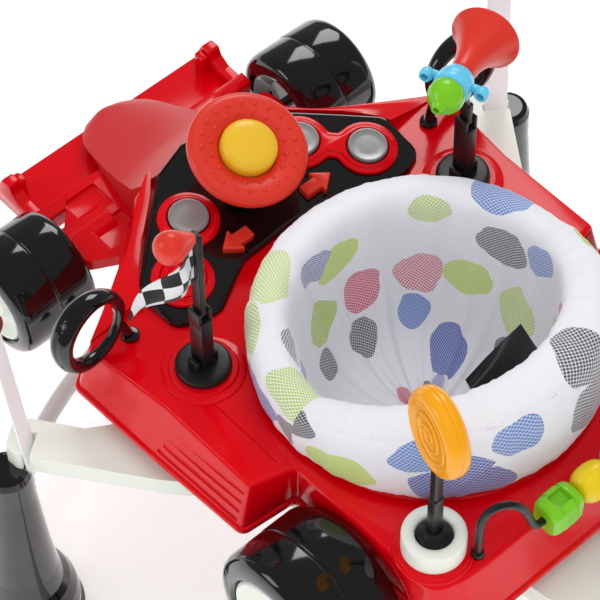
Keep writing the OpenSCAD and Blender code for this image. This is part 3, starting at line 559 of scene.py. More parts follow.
def tray():
    """Deck shell with its flared sides, seat collar, toy bosses and dashboard fairing."""
    deck, flange = rounded(whole(DECK)), rounded(whole(FLANGE))
    shell = skin("tray_moulding", [
        level(inset(line, d), z) for line, d, z in (
            (deck, 7, -4), (flange, 4, -60), (flange, -4, -60), (flange, -4, -56.6),
            (flange, -3.2, -55.2), (flange, -0.4, -54.6), (deck, 0, -7), (deck, 0.6, -4.2),
            (deck, 1.8, -2), (deck, 3.2, -0.6), (deck, 5, 0))])
    carve(shell, prism("hole", circle(HOLE_R + 1, 96, SEAT_Y), -70, 20))
    cuts = []
    for i in range(settings().louvres):
        cuts.append(rod("louvre", [at(241.5 - 3 * i, 14 + 5 * i, -48 + 10 * i),
                                   at(236.5 - 3 * i, 122, -50 + 12 * i)], 2.6 * MM, 10))
    cuts.append(block("groove", (187, 189.5), (40, 124), (-1.6, 4), 0.3))
    carve(shell, pair(join(*cuts)))
    piece(shell, "tray", "red_gloss", "tray_shell", angle=25)
    collar = lathe("seat_collar", [[150, -1], [150, 11.2], [150.8, 12], [153.2, 12], [154, 11.2], [154, 4],
                                   [155, 3], [160, 3], [161, 2.6], [163, -0.6], [160, -1]], 128,
                   closed=True)
    piece(put(collar, at(0, SEAT_Y)), "tray", "red_gloss")
    toy = lathe("toy_boss", [[41, -0.5], [40.4, 1.4], [39.6, 2], [34.5, 2], [33.6, 2.3], [33.2, 3],
                             [33, 4.2], [32.2, 5], [0, 5]], 72)
    piece(pair(put(toy, at(TOY_X, 0))), "tray", "red_gloss")
    rear = lathe("rear_boss", [[38, -0.5], [37.4, 1.4], [36.6, 2], [35.4, 2], [34.4, 2.4], [34, 3.4],
                               [33.2, 4], [0, 4]], 72)
    piece(pair(put(rear, at(*SPIRAL))), "tray", "red_gloss")
    # each side of the dashboard runs out to the deck's corner in one falling sweep
    near = spline([(60, -204, 20), (84, -178, 20.6), (127, -140, 17.4), (150, -116, 14.6),
                   (163, -98, 11)], 6)
    far = spline([(64, -208, 13), (94, -188, 9), (124, -161, 5), (176, -128, 2), (228, -96, 0.6)], 6)
    rings = []
    for p, q in zip(near, far):
        ring = [(p[0], p[1], -1), p]
        for t in (0.1, 0.25, 0.45, 0.65, 0.82, 0.94, 1.0):
            ring.append((p[0] + (q[0] - p[0]) * t, p[1] + (q[1] - p[1]) * t,
                         q[2] + (p[2] - q[2]) * (1 - t) ** 1.6))
        rings.append(ring + [(q[0], q[1], -1)])
    piece(pair(skin("fairing", rings)), "tray", "red_gloss")
    door = prism("battery_cover", rounded([[-34.6, -119.6, 3], [34.6, -119.6, 3], [34.6, -70.4, 3],
                                           [-34.6, -70.4, 3]]), -7.3, -4.4, 0.5)
    piece(door, "tray", "red_satin", "battery_door")


def front_wing():
    """Wing plate, the flap behind it, and an end plate on each side."""
    line = rounded([[-140, -362, 6], [140, -362, 6], [140, -288, 3], [-140, -288, 3]])
    plate = prism("wing_plate", line, -99, -87, 1.4)
    line = rounded([[-311, -88, 1], [-288, -99, 1], [-286, -74, 1.6], [-300, -70, 1.6]], 3)
    flap = skin("wing_flap", [[(x, y, z) for y, z in line] for x in (-140.4, 140.4)])
    side = rounded([[-363, -101, 4], [-288, -101, 3], [-288, -76, 3], [-304, -79, 6], [-322, -78, 8],
                    [-333, -70, 7], [-337, -59.5, 3.5], [-349, -59.5, 4], [-353, -66, 5], [-362, -84, 8]], 5)
    rings = []
    for x, d in ((127, 1.8), (127.6, 0.6), (128.8, 0), (139.4, 0), (140.8, 0.6), (141.4, 1.8)):
        rings.append([(x, p[0], p[1]) for p in inset(side, d)])
    # rounded block inside the front hump
    inner = block("wing_block", (118, 129), (-352, -337), (-90, -66), 3)
    ends = pair(join(skin("wing_end", rings), inner))
    piece(join(plate, round_edges(flap, 0.8, 2), ends), "tray", "red_gloss", "front_wing", angle=35)


def crown(w, z, rise):
    """A parabola from w down to -w, as [x, z]."""
    return [(w * t, z + rise * (1 - t * t)) for t in (1 - i / 8 for i in range(17))]


def nose():
    """Shield over the nose, and the suspension deck under it."""
    rings = []
    for y, w, z, rise in COWL:
        # behind the wing the shield's skirt reaches down to the suspension deck
        foot = -65.5 if y > -290 else z - 4
        rings.append([(x, y, h) for x, h in crown(w, z, rise)] + [(-w, y, foot), (w, y, foot)])
    shield = skin("nose_shield", rings)
    piece(round_edges(shield, 1.4, 3, 50), "tray", "red_satin", "nose_cowl", angle=35)
    line = rounded([[-98, -298, 10], [98, -298, 10], [142, -250, 12], [142, -214, 12], [98, -190, 10],
                    [-98, -190, 10], [-142, -214, 12], [-142, -250, 12]])
    plate = prism("axle_deck", line, -81.7, -66, 1.5)
    trays = [block("recess", (72, 112), (y, y + 34), (-71, -60), 1.5) for y in (-288, -244)]
    carve(plate, pair(join(*trays)))
    stub = lathe("stub", [[23, 0], [24, 1], [24, 54], [23, 55.6], [7, 56]], 40)
    stub = pair(put(stub, at(84.5, *FRONT_AXLE), (1, 0, 0), (0, 0, 1)))
    piece(join(plate, stub), "tray", "red_gloss", "axle_plate", angle=30)
    front = rod("front_axles", [at(86, *FRONT_AXLE), at(226, *FRONT_AXLE)], AXLE_R * MM, 24)
    rear = rod("rear_axles", [at(156, *REAR_AXLE), at(270, *REAR_AXLE)], AXLE_R * MM, 24)
    piece(round_edges(pair(join(front, rear)), 0.8, 2), "tray", "steel", "wheel_axles")


def mirrors():
    """Rings like door mirrors: thick on the outer side, thin at the foot."""
    rings = []
    n = 56
    for i in range(n):
        a = math.tau * i / n
        # heavy outer and upper side
        heavy = 0.5 + 0.5 * math.cos(a + 0.7)
        radial, depth = 4.6 + 3.4 * heavy, 5.4 + 7.6 * heavy
        ring = []
        for k in range(16):
            b = math.tau * k / 16
            r = 37.4 + 0.2 * heavy + radial * math.cos(b) * (1 if math.cos(b) > 0 else 1.3)
            r = min(r, 44.9)
            # local x and y lie in the ring's plane, z along its axis
            ring.append(Vector((r * math.cos(a), r * math.sin(a), depth * math.sin(b))) * MM)
        rings.append(ring)
    o = skin("mirror_ring", rings + [rings[0]], caps=False, raw=True)
    turn = Matrix.Rotation(math.radians(5), 3, "Z") @ Matrix.Rotation(math.radians(-84), 3, "X")
    put(o, at(238, -78, 46), turn @ Vector((0, 0, 1)), turn @ Vector((1, 0, 0)))
    arm = rod("mirror_arm", [at(196, -76, 3.5), at(200, -77, 17), at(206, -78, 29)], 4.8 * MM, 16, 4)
    foot = lathe("mirror_foot", [[9, 0.3], [9, 3.6], [8.2, 4.8], [7, 5.3], [0, 5.3]], 32)
    join(o, arm, put(foot, at(195, -76)))
    piece(pair(o), "tray", "black_gloss", "mirrors")


# ---- dashboard --------------------------------------------------------------

def dash_z(y):
    """Height of the sloping dashboard's face."""
    return 26 - (y + 200) * math.tan(DASH_TILT)


DASH_UP = Vector((0, math.sin(DASH_TILT), math.cos(DASH_TILT)))


def on_dash(x, y):
    return at(x, y, dash_z(y))


def dash_ring(pts, lift):
    return [(p[0], p[1], dash_z(p[1]) + lift + 0.2) for p in pts]


def own_ring(pts, z, s=1):
    """An outline about a piece's own middle, in metres; s = -1 turns it half round."""
    return [(x * s * MM, y * s * MM, z * MM) for x, y in pts]


def dog_bone(half, r, waist):
    """Outline of two rounds joined by a waist, lying along X about the middle."""
    upper = []
    n = 96
    for i in range(n + 1):
        x = (half + r) * math.cos(math.pi * i / n)
        w = math.sqrt(max(r * r - (abs(x) - half) ** 2, 0.0))
        if abs(x) < half - 4:
            w = (w ** 5 + waist ** 5) ** 0.2
        upper.append((x, w))
    return [(x, -y) for x, y in reversed(upper)][:-1] + upper[:-1]


def dashboard():
    """Black dashboard with its wells, the steering column, the red pods and the speaker cover."""
    line = rounded(whole(DASH), 6)
    body = skin("dash_body", [level(line, 0.2), dash_ring(line, -2.4)] + [
        dash_ring(inset(line, d), z) for d, z in ((0.5, -1.2), (1.4, -0.4), (2.6, -0.2), (3.6, -0.9))])
    arrow = [(-17.6, -8.8), (0.8, -8.8), (-1.5, -17.5), (21.6, 0), (-1.5, 17.5), (0.8, 8.8),
             (-17.6, 8.8)]
    slots = []
    for s in (1, -1):
        o = skin("arrow_slot", [own_ring(arrow, z, s) for z in (-5, 20)], raw=True)
        slots.append(put(o, on_dash(s * ARROW[0], ARROW[1]), DASH_UP))
    for x, y in BUTTONS.values():
        well = lathe("button_well", [[0, -5], [20.6, -5], [20.6, 20], [0, 20]], 64)
        slots.append(put(well, on_dash(x, y), DASH_UP))
    carve(body, join(*slots))
    column = lathe("column", [[17, -72], [17, -14.5], [16, -13], [8, -13], [8, -3]], 40)
    piece(body, "tray", "black_gloss", "dashboard", angle=25)
    piece(put(column, at(*STEER), STEER_UP), "tray", "black_gloss")
    for s in (1, -1):
        inner, outer = (s * 72, -134), (s * 120, -86)
        cx, cy = (inner[0] + outer[0]) / 2, (inner[1] + outer[1]) / 2
        half = math.hypot(outer[0] - inner[0], outer[1] - inner[1]) / 2
        line = dog_bone(half, 31, 14.5)
        rings = [own_ring(inset(line, d), z)
                 for z, d in ((0.3, 0), (2.2, 0.2), (3.2, 0.8), (3.6, 1.8), (3.7, 3.6), (4.2, 4.6),
                              (5.6, 5.8), (6.2, 7.4))]
        o = put(skin("pod", rings, raw=True), on_dash(cx, cy), DASH_UP, (s, 1, 0))
        for x, y in (inner, outer):
            hole = 20.8 if (x, y) != SPEAKER else 22.2
            cut = lathe("pod_hole", [[0, -4], [hole, -4], [hole, 4.2], [hole + 2.2, 7.4], [hole + 2.2, 12],
                                     [0, 12]], 64)
            carve(o, put(cut, on_dash(x, y), DASH_UP))
        piece(o, "tray", "red_gloss", *(["control_rings"] if s > 0 else []), angle=35)
    cover = [[0, 4.4], [3.2, 4.5], [3.8, 5.9], [6, 6.1], [7, 4.6], [9.2, 4.5], [10, 5.9], [12.2, 6.1],
             [13.2, 4.6], [15.2, 4.5], [16, 5.9], [18.4, 6.1], [19.2, 5.2], [21.4, 5.2], [21.9, 4.4],
             [21.9, -2.9]]
    piece(put(lathe("speaker", cover, 64), on_dash(*SPEAKER), DASH_UP), "tray", "red_gloss")


def buttons():
    """Silver caps and red arrows, each on its own moving body."""
    cap = [[16.5, 0.2], [19.4, 2.6], [20, 3.6], [20, 7.2], [19.6, 8.4], [18.6, 9], [17.6, 8.8],
           [16.6, 8.4], [10, 8.7], [0, 8.8]]
    for node, (x, y) in BUTTONS.items():
        o = put(lathe(node + "_cap", cap, 64), on_dash(x, y), DASH_UP)
        piece(o, "push_" + node[7:], "silver", node, angle=50)
    line = rounded([[-16, -7, 1.5], [2, -7, 0.8], [0, -15, 1.5], [20, 0, 2], [0, 15, 1.5], [2, 7, 0.8],
                    [-16, 7, 1.5]], 4)
    for node, s in (("arrow_left", 1), ("arrow_right", -1)):
        rings = [own_ring(inset(line, d), z, s) for z, d in ((-2.6, 0), (5, 0), (5.9, 0.4), (6.4, 1.1))]
        o = put(skin(node + "_key", rings, raw=True), on_dash(s * ARROW[0], ARROW[1]), DASH_UP)
        piece(o, "push_" + node, "red_toy", node)


def steering():
    """Steering wheel with its small bumps, and the dome pressed at its middle."""
    section = [[8.05, -12], [26, -12], [34, -9.4], [48, -10], [54, -8.6], [58.2, -5.4], [60, -1.4],
               [60, 1.8], [58.9, 4.8], [56.6, 7], [53, 8.4], [48, 8.7], [42, 7.8], [36, 5.9], [32, 4],
               [30, 2.6], [29, 1.6], [29, -4], [8.05, -4]]
    wheel = lathe("wheel_disc", section, 128, closed=True)
    bumps = []
    for r, n, h in ((47, 21, 8.4), (37.5, 16, 6.3)):
        for i in range(n):
            a = math.tau * i / n
            o = lathe("bump", [[2.5, 0], [2.2, 0.8], [1.4, 1.4], [0, 1.6]], 12)
            bumps.append(put(o, Vector((r * math.cos(a), r * math.sin(a), h)) * MM))
    join(wheel, *bumps)
    piece(put(wheel, at(*STEER), STEER_UP), "steering", "red_toy", "steering_wheel", angle=50)
    dome = lathe("horn_dome", [[0, 0.5], [28.4, 0.5], [28.4, 8.4], [28, 11], [26.8, 13.4], [24.8, 15.4],
                               [22, 16.8], [17, 17.9], [10.6, 18.6], [5, 18.9], [0, 19]], 96)
    piece(put(dome, at(*STEER), STEER_UP), "horn_push", "yellow", "horn_button", angle=50)


# ---- wheels -----------------------------------------------------------------

def toy_wheel(end, side, x, axle, r, w):
    """Tyre and hub cap; the profiles are [radius, distance from the inner face]."""
    sx = 1 if side == "left" else -1
    spot = at(sx * x, *axle)
    name = "{}_{}".format(end, side)
    tread = [[r * 0.78, 0.2], [r * 0.84, 1], [r * 0.905, 2.6], [r * 0.95, 5], [r * 0.982, 9],
             [r * 0.998, 14], [r, w * 0.3], [r + 0.01, w * 0.47], [r - 0.3, w * 0.485],
             [r - 1.2, w * 0.493]]
    inner = [[BORE, 14], [r * 0.42, 14], [r * 0.48, 10], [r * 0.62, 2], [r * 0.66, 0.5], [r * 0.70, 0]]
    outer = [[r * 0.74, w], [r * 0.715, w - 1.4], [r * 0.70, w - 4], [r * 0.70, w - 16], [BORE, w - 16]]
    tyre = inner + there_and_back(tread, w) + outer
    f = w - 15.9
    hub = [[BORE, f], [r * 0.69, f], [r * 0.69, w - 4.6], [r * 0.675, w - 2.6], [r * 0.65, w - 1.3],
           [r * 0.62, w - 1.6], [r * 0.59, w - 3.6], [r * 0.54, w - 7.6], [r * 0.47, w - 10.6],
           [r * 0.36, w - 12], [r * 0.30, w - 12], [r * 0.275, w - 11], [r * 0.25, w - 7.4],
           [r * 0.225, w - 5.4], [r * 0.19, w - 4.9], [6.4, w - 4.9], [BORE, w - 5.4]]
    for part, profile, slot, angle in (("tyre", tyre, "black_gloss", 45), ("hub", hub, "cream", 35)):
        o = lathe("{}_{}".format(name, part), profile, 96, closed=True)
        put(o, spot, (sx, 0, 0), (0, 1, 0))
        piece(o, "toy_wheel_" + name, slot, "{}_{}".format(part, name), angle=angle)


def toy_wheels():
    for side in ("left", "right"):
        toy_wheel("front", side, 144.5, FRONT_AXLE, 60, 93)
        toy_wheel("rear", side, 182, REAR_AXLE, 80, 98)


# ---- toys -------------------------------------------------------------------

def knuckle(x0, x1, z, r):
    """A short round across the car, for a hinge."""
    o = lathe("knuckle", [[0, x0], [r - 0.6, x0], [r, x0 + 0.6], [r, x1 - 0.6], [r - 0.6, x1], [0, x1]], 32)
    return put(o, at(0, 0, z), (1, 0, 0), (0, 0, 1))


def toy_stalks():
    """Round bases, and the two-part poles that carry the flag's egg and the horn."""
    base = lathe("toy_base_disc", [[27, 5.2], [27, 9.4], [26.4, 11.6], [25.2, 12.8], [23, 13.2],
                                   [13, 13.2], [0, 13.2]], 64)
    put(base, at(TOY_X, 0))
    cheeks = [block("cheek", (TOY_X + s * 11 - 2.4, TOY_X + s * 11 + 2.4), (-7, 7), (11, 25))
              for s in (-1, 1)]
    piece(pair(join(base, *cheeks)), "tray", "black_satin", "toy_bases")
    for who, s in (("flag", 1), ("horn", -1)):
        x = s * TOY_X
        low = block(who + "_post", (x - 7, x + 7), (-9, 9), (17.2, 83))
        forks = [block("fork", (x + t * 6.2 - 2, x + t * 6.2 + 2), (-8, 8), (76, 98)) for t in (-1, 1)]
        join(low, knuckle(x - 7, x + 7, FOOT_PIN, 7), *forks)
        piece(low, who + "_lower", "black_satin", who + "_stalk_lower")
    wide = (TOY_X - POLE_HALF, TOY_X + POLE_HALF)
    pole = block("flag_pole", wide, (-6, 6), (MID_PIN, 206), 1.4)
    piece(join(pole, knuckle(*wide, MID_PIN, 6)), "flag_upper", "black_satin", "flag_stalk_upper")
    egg = lathe("egg", [[0, 0.5], [3.6, 1], [6.4, 4.6], [8.8, 10], [11.6, 16], [14.2, 22], [15.8, 28],
                        [15.9, 32.6], [14.6, 37.4], [11.6, 41.2], [7.4, 43.6], [3, 44.6], [0, 44.7]], 48)
    tilt = math.radians(72)
    piece(put(refine(egg), at(TOY_X, 0, 203), (math.sin(tilt), 0, math.cos(tilt))), "flag_upper", "red_toy",
          "flag_knob", angle=60)
    wide = (-TOY_X - POLE_HALF, -TOY_X + POLE_HALF)
    rise = block("horn_post", wide, (-6, 6), (MID_PIN, 118), 1.4)
    neck = rod("horn_neck", [at(-TOY_X, 0, 112), at(-165, 0, 124), at(-156, 0, 139)], 5 * MM, 16, 4)
    piece(join(rise, neck, knuckle(*wide, MID_PIN, 6)), "horn_upper", "black_satin",
          "horn_stalk_upper")


def own_uv(o, place):
    """Gives every loop the UV that place() returns for its vertex, in metres."""
    layer = o.data.uv_layers.new(name="UVMap") if not o.data.uv_layers else o.data.uv_layers[0]
    for loop in o.data.loops:
        layer.data[loop.index].uv = place(o.data.vertices[loop.vertex_index].co)


def flag():
    """Chequered cloth: held along the pole, waved along its length."""
    x0, mid_z = TOY_X + 4.4, 156
    top = spline([(0, 42, 0), (8, 38.6, 0), (22, 30.5, 0), (38, 19.5, 0), (56, 8, 0), (75, -4.4, 0)], 8)
    low = spline([(0, -14, 0), (18, -15.4, 0), (36, -14, 0), (56, -9.6, 0), (66, -7.4, 0),
                  (75, -5.4, 0)], 8)
    bpy.ops.object.select_all(action="DESELECT")
    bpy.ops.mesh.primitive_grid_add(x_subdivisions=len(top) - 1, y_subdivisions=16, size=2,
                                    location=(0, 0, 0))
    o = bpy.context.object
    o.name = "flag_sheet"
    for v in o.data.vertices:
        i = round((v.co.x + 1) / 2 * (len(top) - 1))
        t = (v.co.y + 1) / 2
        p = low[i].lerp(top[i], t)
        wave = 7.5 * math.sin(p.x * 0.083) * min(1, p.x / 14) + 2.2 * math.sin(p.y * 0.16 + p.x * 0.05)
        v.co = at(x0 + p.x, wave * min(1, p.x / 10), mid_z + p.y)
    own_uv(o, lambda c: (c.x, c.z))
    thicken(o, 1.1, 0)
    piece(o, "flag_upper", "flag_fabric", "flag_cloth", angle=60)


def horn():
    """Bulb, drum with its two side cups, and trumpet, turned about one slanting axis."""
    axis = Matrix.Rotation(math.radians(201.9), 3, "Z") @ Matrix.Rotation(math.radians(98), 3, "Y")
    z, x = axis @ Vector((0, 0, 1)), axis @ Vector((1, 0, 0))
    c = at(-151, 0, 160)
    bulb = lathe("horn_bulb_body", [[0, -39], [3, -39.4], [3.1, -44], [4.8, -44], [5.6, -43.2],
                                    [5.9, -41.6], [5.8, -39.4], [6.8, -37.2],
                                    [9.6, -35.6], [13, -33], [15.8, -29.6], [17.5, -25.6], [18, -21.6],
                                    [17.8, -17.6], [17, -14.4], [0, -14.4]], 64)
    piece(put(bulb, c, z, x), "horn_upper", "green", "horn_bulb", angle=60)
    collar = lathe("horn_drum", [[0, -13.9], [16.6, -13.9], [17.8, -13], [18.6, -9], [18.9, -4.8],
                                 [18.4, -3.6], [18.9, -2.6], [18.2, 2], [16.6, 7.4], [15.4, 10], [14, 10.9],
                                 [0, 10.9]], 64)
    parts = [collar]
    for s in (-1, 1):
        arm = rod("horn_arm", [Vector((0, s * t, 2)) * MM for t in (14, 20, 25)], 4.4 * MM, 12)
        cup = lathe("horn_cup", [[0, -1], [3.7, -1.4], [3.8, -7], [4.8, -7.6], [6, -6.6], [6.9, -4], [7, -1],
                                 [6.6, 2], [5, 4.4], [2.4, 5.6], [0, 5.8]], 32)
        parts += [arm, put(cup, Vector((0, s * 28.5, 0)) * MM)]
    piece(put(join(*parts), c, z, x), "horn_upper", "blue", "horn_collar", angle=50)
    bell = lathe("horn_trumpet", [[0, 11.3], [11.4, 11.3], [12, 12], [12.6, 18], [13.2, 26], [15, 36],
                                  [17.8, 45], [21.6, 54], [26.4, 62], [31, 68.4], [33.8, 71.2], [35, 72.6],
                                  [35.2, 73.6], [34.6, 75], [33, 75.5], [30.8, 74.4], [26, 70], [20.6, 63.6],
                                  [15.6, 56], [12, 48], [9.6, 39], [8, 30], [7.2, 20], [0, 17.3]], 80)
    piece(put(bell, c, z, x), "horn_upper", "red_toy", "horn_bell", angle=60)


def spiral_disc():
    """White ring base, black stem and orange disc with a spiral on one face."""
    base = lathe("oval_base_ring", [[17.6, 4.2], [28.8, 4.2], [29.8, 5.4], [30, 7], [30, 25.4],
                                    [29.6, 27.6], [28.2, 29.4], [25.6, 30.2], [22.4, 30.2],
                                    [19.6, 29.4], [18, 27.6], [17.6, 25], [17.6, 12]], 80, closed=True)
    piece(put(base, at(*SPIRAL)), "tray", "cream", "oval_base")
    stem = lathe("oval_stem", [[0, 4.4], [16.7, 4.4], [16.7, 24], [16, 26.4], [14, 27.8], [10.6, 28.6],
                               [9.4, 30], [8.8, 36.3], [0, 36.3]], 48)
    put(stem, at(*SPIRAL))
    low = block("oval_post", (140, 152), (283, 293), (34, 86), 1.6)
    high = block("oval_neck", (141, 151), (284, 292), (83, 150), 1.6)
    piece(join(stem, low, high), "oval_toy", "black_satin", "oval_stalk")
    disc = lathe("spiral_disc_body", [[0, -12], [31, -12], [35, -11.4], [38.4, -9.8], [40.8, -6.8],
                                      [41.9, -3], [42, -0.7], [41.5, 0], [42, 0.7], [41.9, 3], [40.8, 6.8],
                                      [38.4, 9.8], [35, 11.6], [33, 11.8], [31.4, 11], [30.6, 10.4],
                                      [0, 10.4]], 96)
    path, width = [], []
    n = 90
    for i in range(n + 1):
        a = math.tau * 2.6 * i / n
        q = 4 + 27 * i / n
        path.append(Vector((q * math.cos(a), q * math.sin(a), 10.3)) * MM)
        width.append(1.9 * MM if i < n else 1.2 * MM)
    coil = rod("spiral", path, width, 10)
    turn = Matrix.Rotation(math.radians(-16), 3, "Z") @ Matrix.Rotation(math.radians(87), 3, "Y")
    put(join(disc, coil), at(*SPIRAL, 188), turn @ Vector((0, 0, 1)), turn @ Vector((1, 0, 0)))
    piece(disc, "oval_toy", "orange", "oval_disc", angle=50)


def bead_rail():
    """Bent wire on two feet, and the three beads on it."""
    path = [(121, 319, 1), (120.6, 319, 30), (119.6, 319.4, 52), (113, 323, 68.4), (100, 331, 74.6),
            (86.6, 338, 61), (76.4, 341.8, 31.5), (71, 342, 23.4), (60, 342, 20.6), (40, 342, 20.5),
            (0, 342, 20.5)]
    half = spline([at(*p) for p in path], 6)
    other = [Vector((-p.x, p.y, p.z)) for p in reversed(half[:-1])]
    wire = rod("bead_rod", half + other, 3.95 * MM, 20)
    foot = lathe("wire_foot", [[6.5, 0.3], [6.4, 3], [5.6, 5.2], [4.8, 6.2], [0, 6.2]], 32)
    piece(join(wire, pair(put(foot, at(*WIRE_FOOT)))), "tray", "black_satin", "bead_wire", angle=60)
    line = rounded([[-19.5, -17, 13], [19.5, -17, 13], [19.5, 17, 13], [-19.5, 17, 13]], 10)
    # rounded ends and a groove near each
    steps = there_and_back([[6, -19], [4.4, -18.7], [2.8, -17.6], [1.6, -15.6], [0.8, -12], [0.5, -9.4],
                            [1.3, -9], [1.5, -8], [1.1, -7], [0.1, -6.4]])
    rings = [[(BEAD_STEP + x, WIRE[0] + p[1], WIRE[1] - p[0]) for p in inset(line, d)]
             for d, x in steps]
    green = skin("green_bead", rings)
    cut = block("bead_recess", (BEAD_STEP - 9, BEAD_STEP + 9), (334, 350), (32, 46))
    piece(carve(green, cut), "bead_a", "green", "bead_green", angle=40)
    ball = there_and_back([[BEAD_BORE, -20], [6, -19.9], [9.4, -18.9], [13, -16.2], [15.8, -12.4],
                           [17.4, -7.6], [18, -2.6]])
    drum = there_and_back([[BEAD_BORE, -19], [12, -19], [14.6, -18.4], [16.8, -16.8], [17.8, -14.6],
                           [18, -12]])
    for name, profile, x, body, slot, node in (
            ("yellow_bead", ball, 0, "bead_b", "bead_yellow", "bead_yellow"),
            ("blue_bead", drum, -BEAD_STEP, "bead_c", "blue", "bead_blue")):
        bead = put(lathe(name, profile, 48, closed=True), at(x, *WIRE), (1, 0, 0), (0, 1, 0))
        piece(bead, body, slot, node, angle=60)


# ---- seat -------------------------------------------------------------------

# cushion section at the front and what the raised back adds: radius, height, share of the rise
PAD = [[164, 11.6, 0, 0], [167.4, 10.6, 0, 0], [170.2, 13, 0, 0], [171.8, 22, 1, 0.1],
       [172.6, 34, 1, 0.4], [172, 46, -1, 0.75], [170, 55, -3, 0.95], [167.4, 59.4, -4, 1],
       [166.4, 60.2, -4.4, 1], [165.4, 61.6, -4.6, 1], [160, 64.6, -6, 1], [152, 66.4, -10, 1],
       [144, 65.4, -15, 1], [137.4, 61, -18, 1], [133, 54, -17, 0.96], [129.6, 42, -13, 0.8],
       [126.6, 26, -8, 0.55], [123, 8, -4, 0.3], [118.6, -12, -2, 0.12], [113, -32, 0, 0],
       [106, -52, 0, 0], [98, -71, 0, 0], [88, -88, 0, 0], [75, -101, 0, 0], [60, -109.4, 0, 0],
       [44, -114, 0, 0], [28, -116.4, 0, 0], [12, -117.4, 0, 0], [1, -117.6, 0, 0]]
# black fabric panel let into the inner wall, and the slant its outline is cut along
PANEL = [(-105, 149, -31), (-97, 186, -36), (-40, 178, -110), (-64, 118, -118)]
SLANT = Vector((0.41, 0.44, 0.8))


def let_in(o, corners):
    """Cuts the cloth along the lines between the corners and lifts out the faces inside them."""
    centre = sum(corners, Vector()) / len(corners)
    sides = []
    for i, p in enumerate(corners):
        n = (corners[(i + 1) % len(corners)] - p).cross(SLANT).normalized()
        sides.append((p, n if (centre - p).dot(n) > 0 else -n))

    def choose(test):
        bpy.ops.mesh.select_all(action="DESELECT")
        bm = bmesh.from_edit_mesh(o.data)
        for f in bm.faces:
            c = f.calc_center_median()
            if (c - centre).length < 0.11 and test(c):
                f.select_set(True)
        bm.select_flush_mode()
        bmesh.update_edit_mesh(o.data)

    only(o)
    bpy.ops.object.mode_set(mode="EDIT")
    bpy.ops.mesh.select_mode(type="FACE")
    for p, n in sides:
        choose(lambda c: True)
        bpy.ops.mesh.bisect(plane_co=p, plane_no=n)
    choose(lambda c: all((c - p).dot(n) > 0 for p, n in sides))
    bpy.ops.mesh.separate(type="SELECTED")
    bpy.ops.mesh.select_mode(type="VERT")
    bpy.ops.object.mode_set(mode="OBJECT")
    part = [x for x in bpy.context.selected_objects if x is not o][0]
    part.name = "seat_panel"
    return part


def pad_run(angle):
    """The cushion's smooth section at an angle round the seat; the back stands higher."""
    back = max(0.0, math.sin(angle)) ** 0.85
    rise = settings().back_rise / MM
    return spline([(r + dr * back, 0, z + rise * dz * back) for r, z, dr, dz in PAD], 4)


def fold(angle, k, count):
    """How far the cloth stands off its smooth form, mm: folds run down the inner wall."""
    t = k / count
    c, n = Vector((math.cos(angle), math.sin(angle), 0)), noise.noise
    inner = max(0.0, min(1.0, (t - 0.45) / 0.35))
    wall = n(c * 3.4 + Vector((0, 0, 1.6 * t))) * 9 + n(c * 7.5 + Vector((7, 3, 2.2 * t))) * 4.5
    pucker = n(c * 26 + Vector((0, 0, 4 * t))) * 0.9 + n(c * 11 + Vector((5, 1, 5 * t))) * 1.4
    return (wall * inner * (1 - 0.45 * max(0.0, (t - 0.85) / 0.15)) + pucker) * settings().fold_depth


def seat():
    """Turning ring, and the padded cushion with the panel let into its inner wall."""
    ring = lathe("seat_flange", [[140.4, -30], [149.6, -30], [149.6, 12.4], [163.4, 12.4], [164, 13],
                                 [164, 15.4], [163.4, 16], [140.4, 16]], 128, closed=True)
    piece(put(ring, at(0, SEAT_Y)), "seat", "seat_white", "seat_ring")
    runs, n = [], 288
    for i in range(n):
        run = pad_run(math.tau * i / n)
        count = len(run) - 1
        moved = []
        for k, p in enumerate(run):
            q = (run[min(k + 1, count)] - run[max(k - 1, 0)]).normalized()
            out = Vector((q.z, 0, -q.x))
            moved.append(p + out * fold(math.tau * i / n, k, count) * min(1, k / 6))
        runs.append(moved)
    # cloth length along one section, for the print
    run, lengths = pad_run(0.6), [0.0]
    for a, b in zip(run, run[1:]):
        lengths.append(lengths[-1] + (b - a).length)
    bpy.ops.object.select_all(action="DESELECT")
    bpy.ops.mesh.primitive_grid_add(x_subdivisions=n, y_subdivisions=count, size=2,
                                    location=(0, 0, 0))
    o = bpy.context.object
    o.name = "seat_cushion"
    spots = [(round((v.co.x + 1) / 2 * n), round((v.co.y + 1) / 2 * count)) for v in o.data.vertices]
    layer = o.data.uv_layers[0]
    for loop in o.data.loops:
        i, k = spots[loop.vertex_index]
        layer.data[loop.index].uv = (math.tau * 0.132 * i / n, lengths[k] * MM)
    for v in o.data.vertices:
        i, k = spots[v.index]
        a, p = math.tau * i / n, runs[i % n][k]
        v.co = at(p.x * math.cos(a), SEAT_Y - 4 + p.x * math.sin(a), p.z)
    tidy(o)
    panel = let_in(o, [at(*p) for p in PANEL])
    thicken(o, 2.4, -1)
    thicken(panel, 2.4, -1)
    piece(o, "seat", "seat_fabric", "seat_pad", angle=70)
    piece(panel, "seat", "sling_fabric", angle=70)


def sling():
    """Black fabric floor of the seat, slack between its seams."""
    prof = [[0, -132.4], [16, -132], [32, -131], [45, -129], [58, -125.6], [70, -121], [78, -116.6],
            [84, -112], [87.3, -115], [80, -120.4], [73, -125.2], [60, -130], [47, -133.2], [32, -135],
            [16, -136], [0, -136.3]]
    o = lathe("sling_bowl", prof, 96)
    piece(put(o, at(0, SEAT_Y)), "seat", "sling_fabric", "seat_sling", angle=60)


# ---- straps -----------------------------------------------------------------

# section of the webbing, a little thicker at its middle
WEBBING = ((-12.2, -0.6), (-6, -0.8), (0, -0.8), (6, -0.8), (12.2, -0.6), (12.2, 0.6), (6, 0.8),
           (0, 0.8), (-6, 0.8), (-12.2, 0.6))


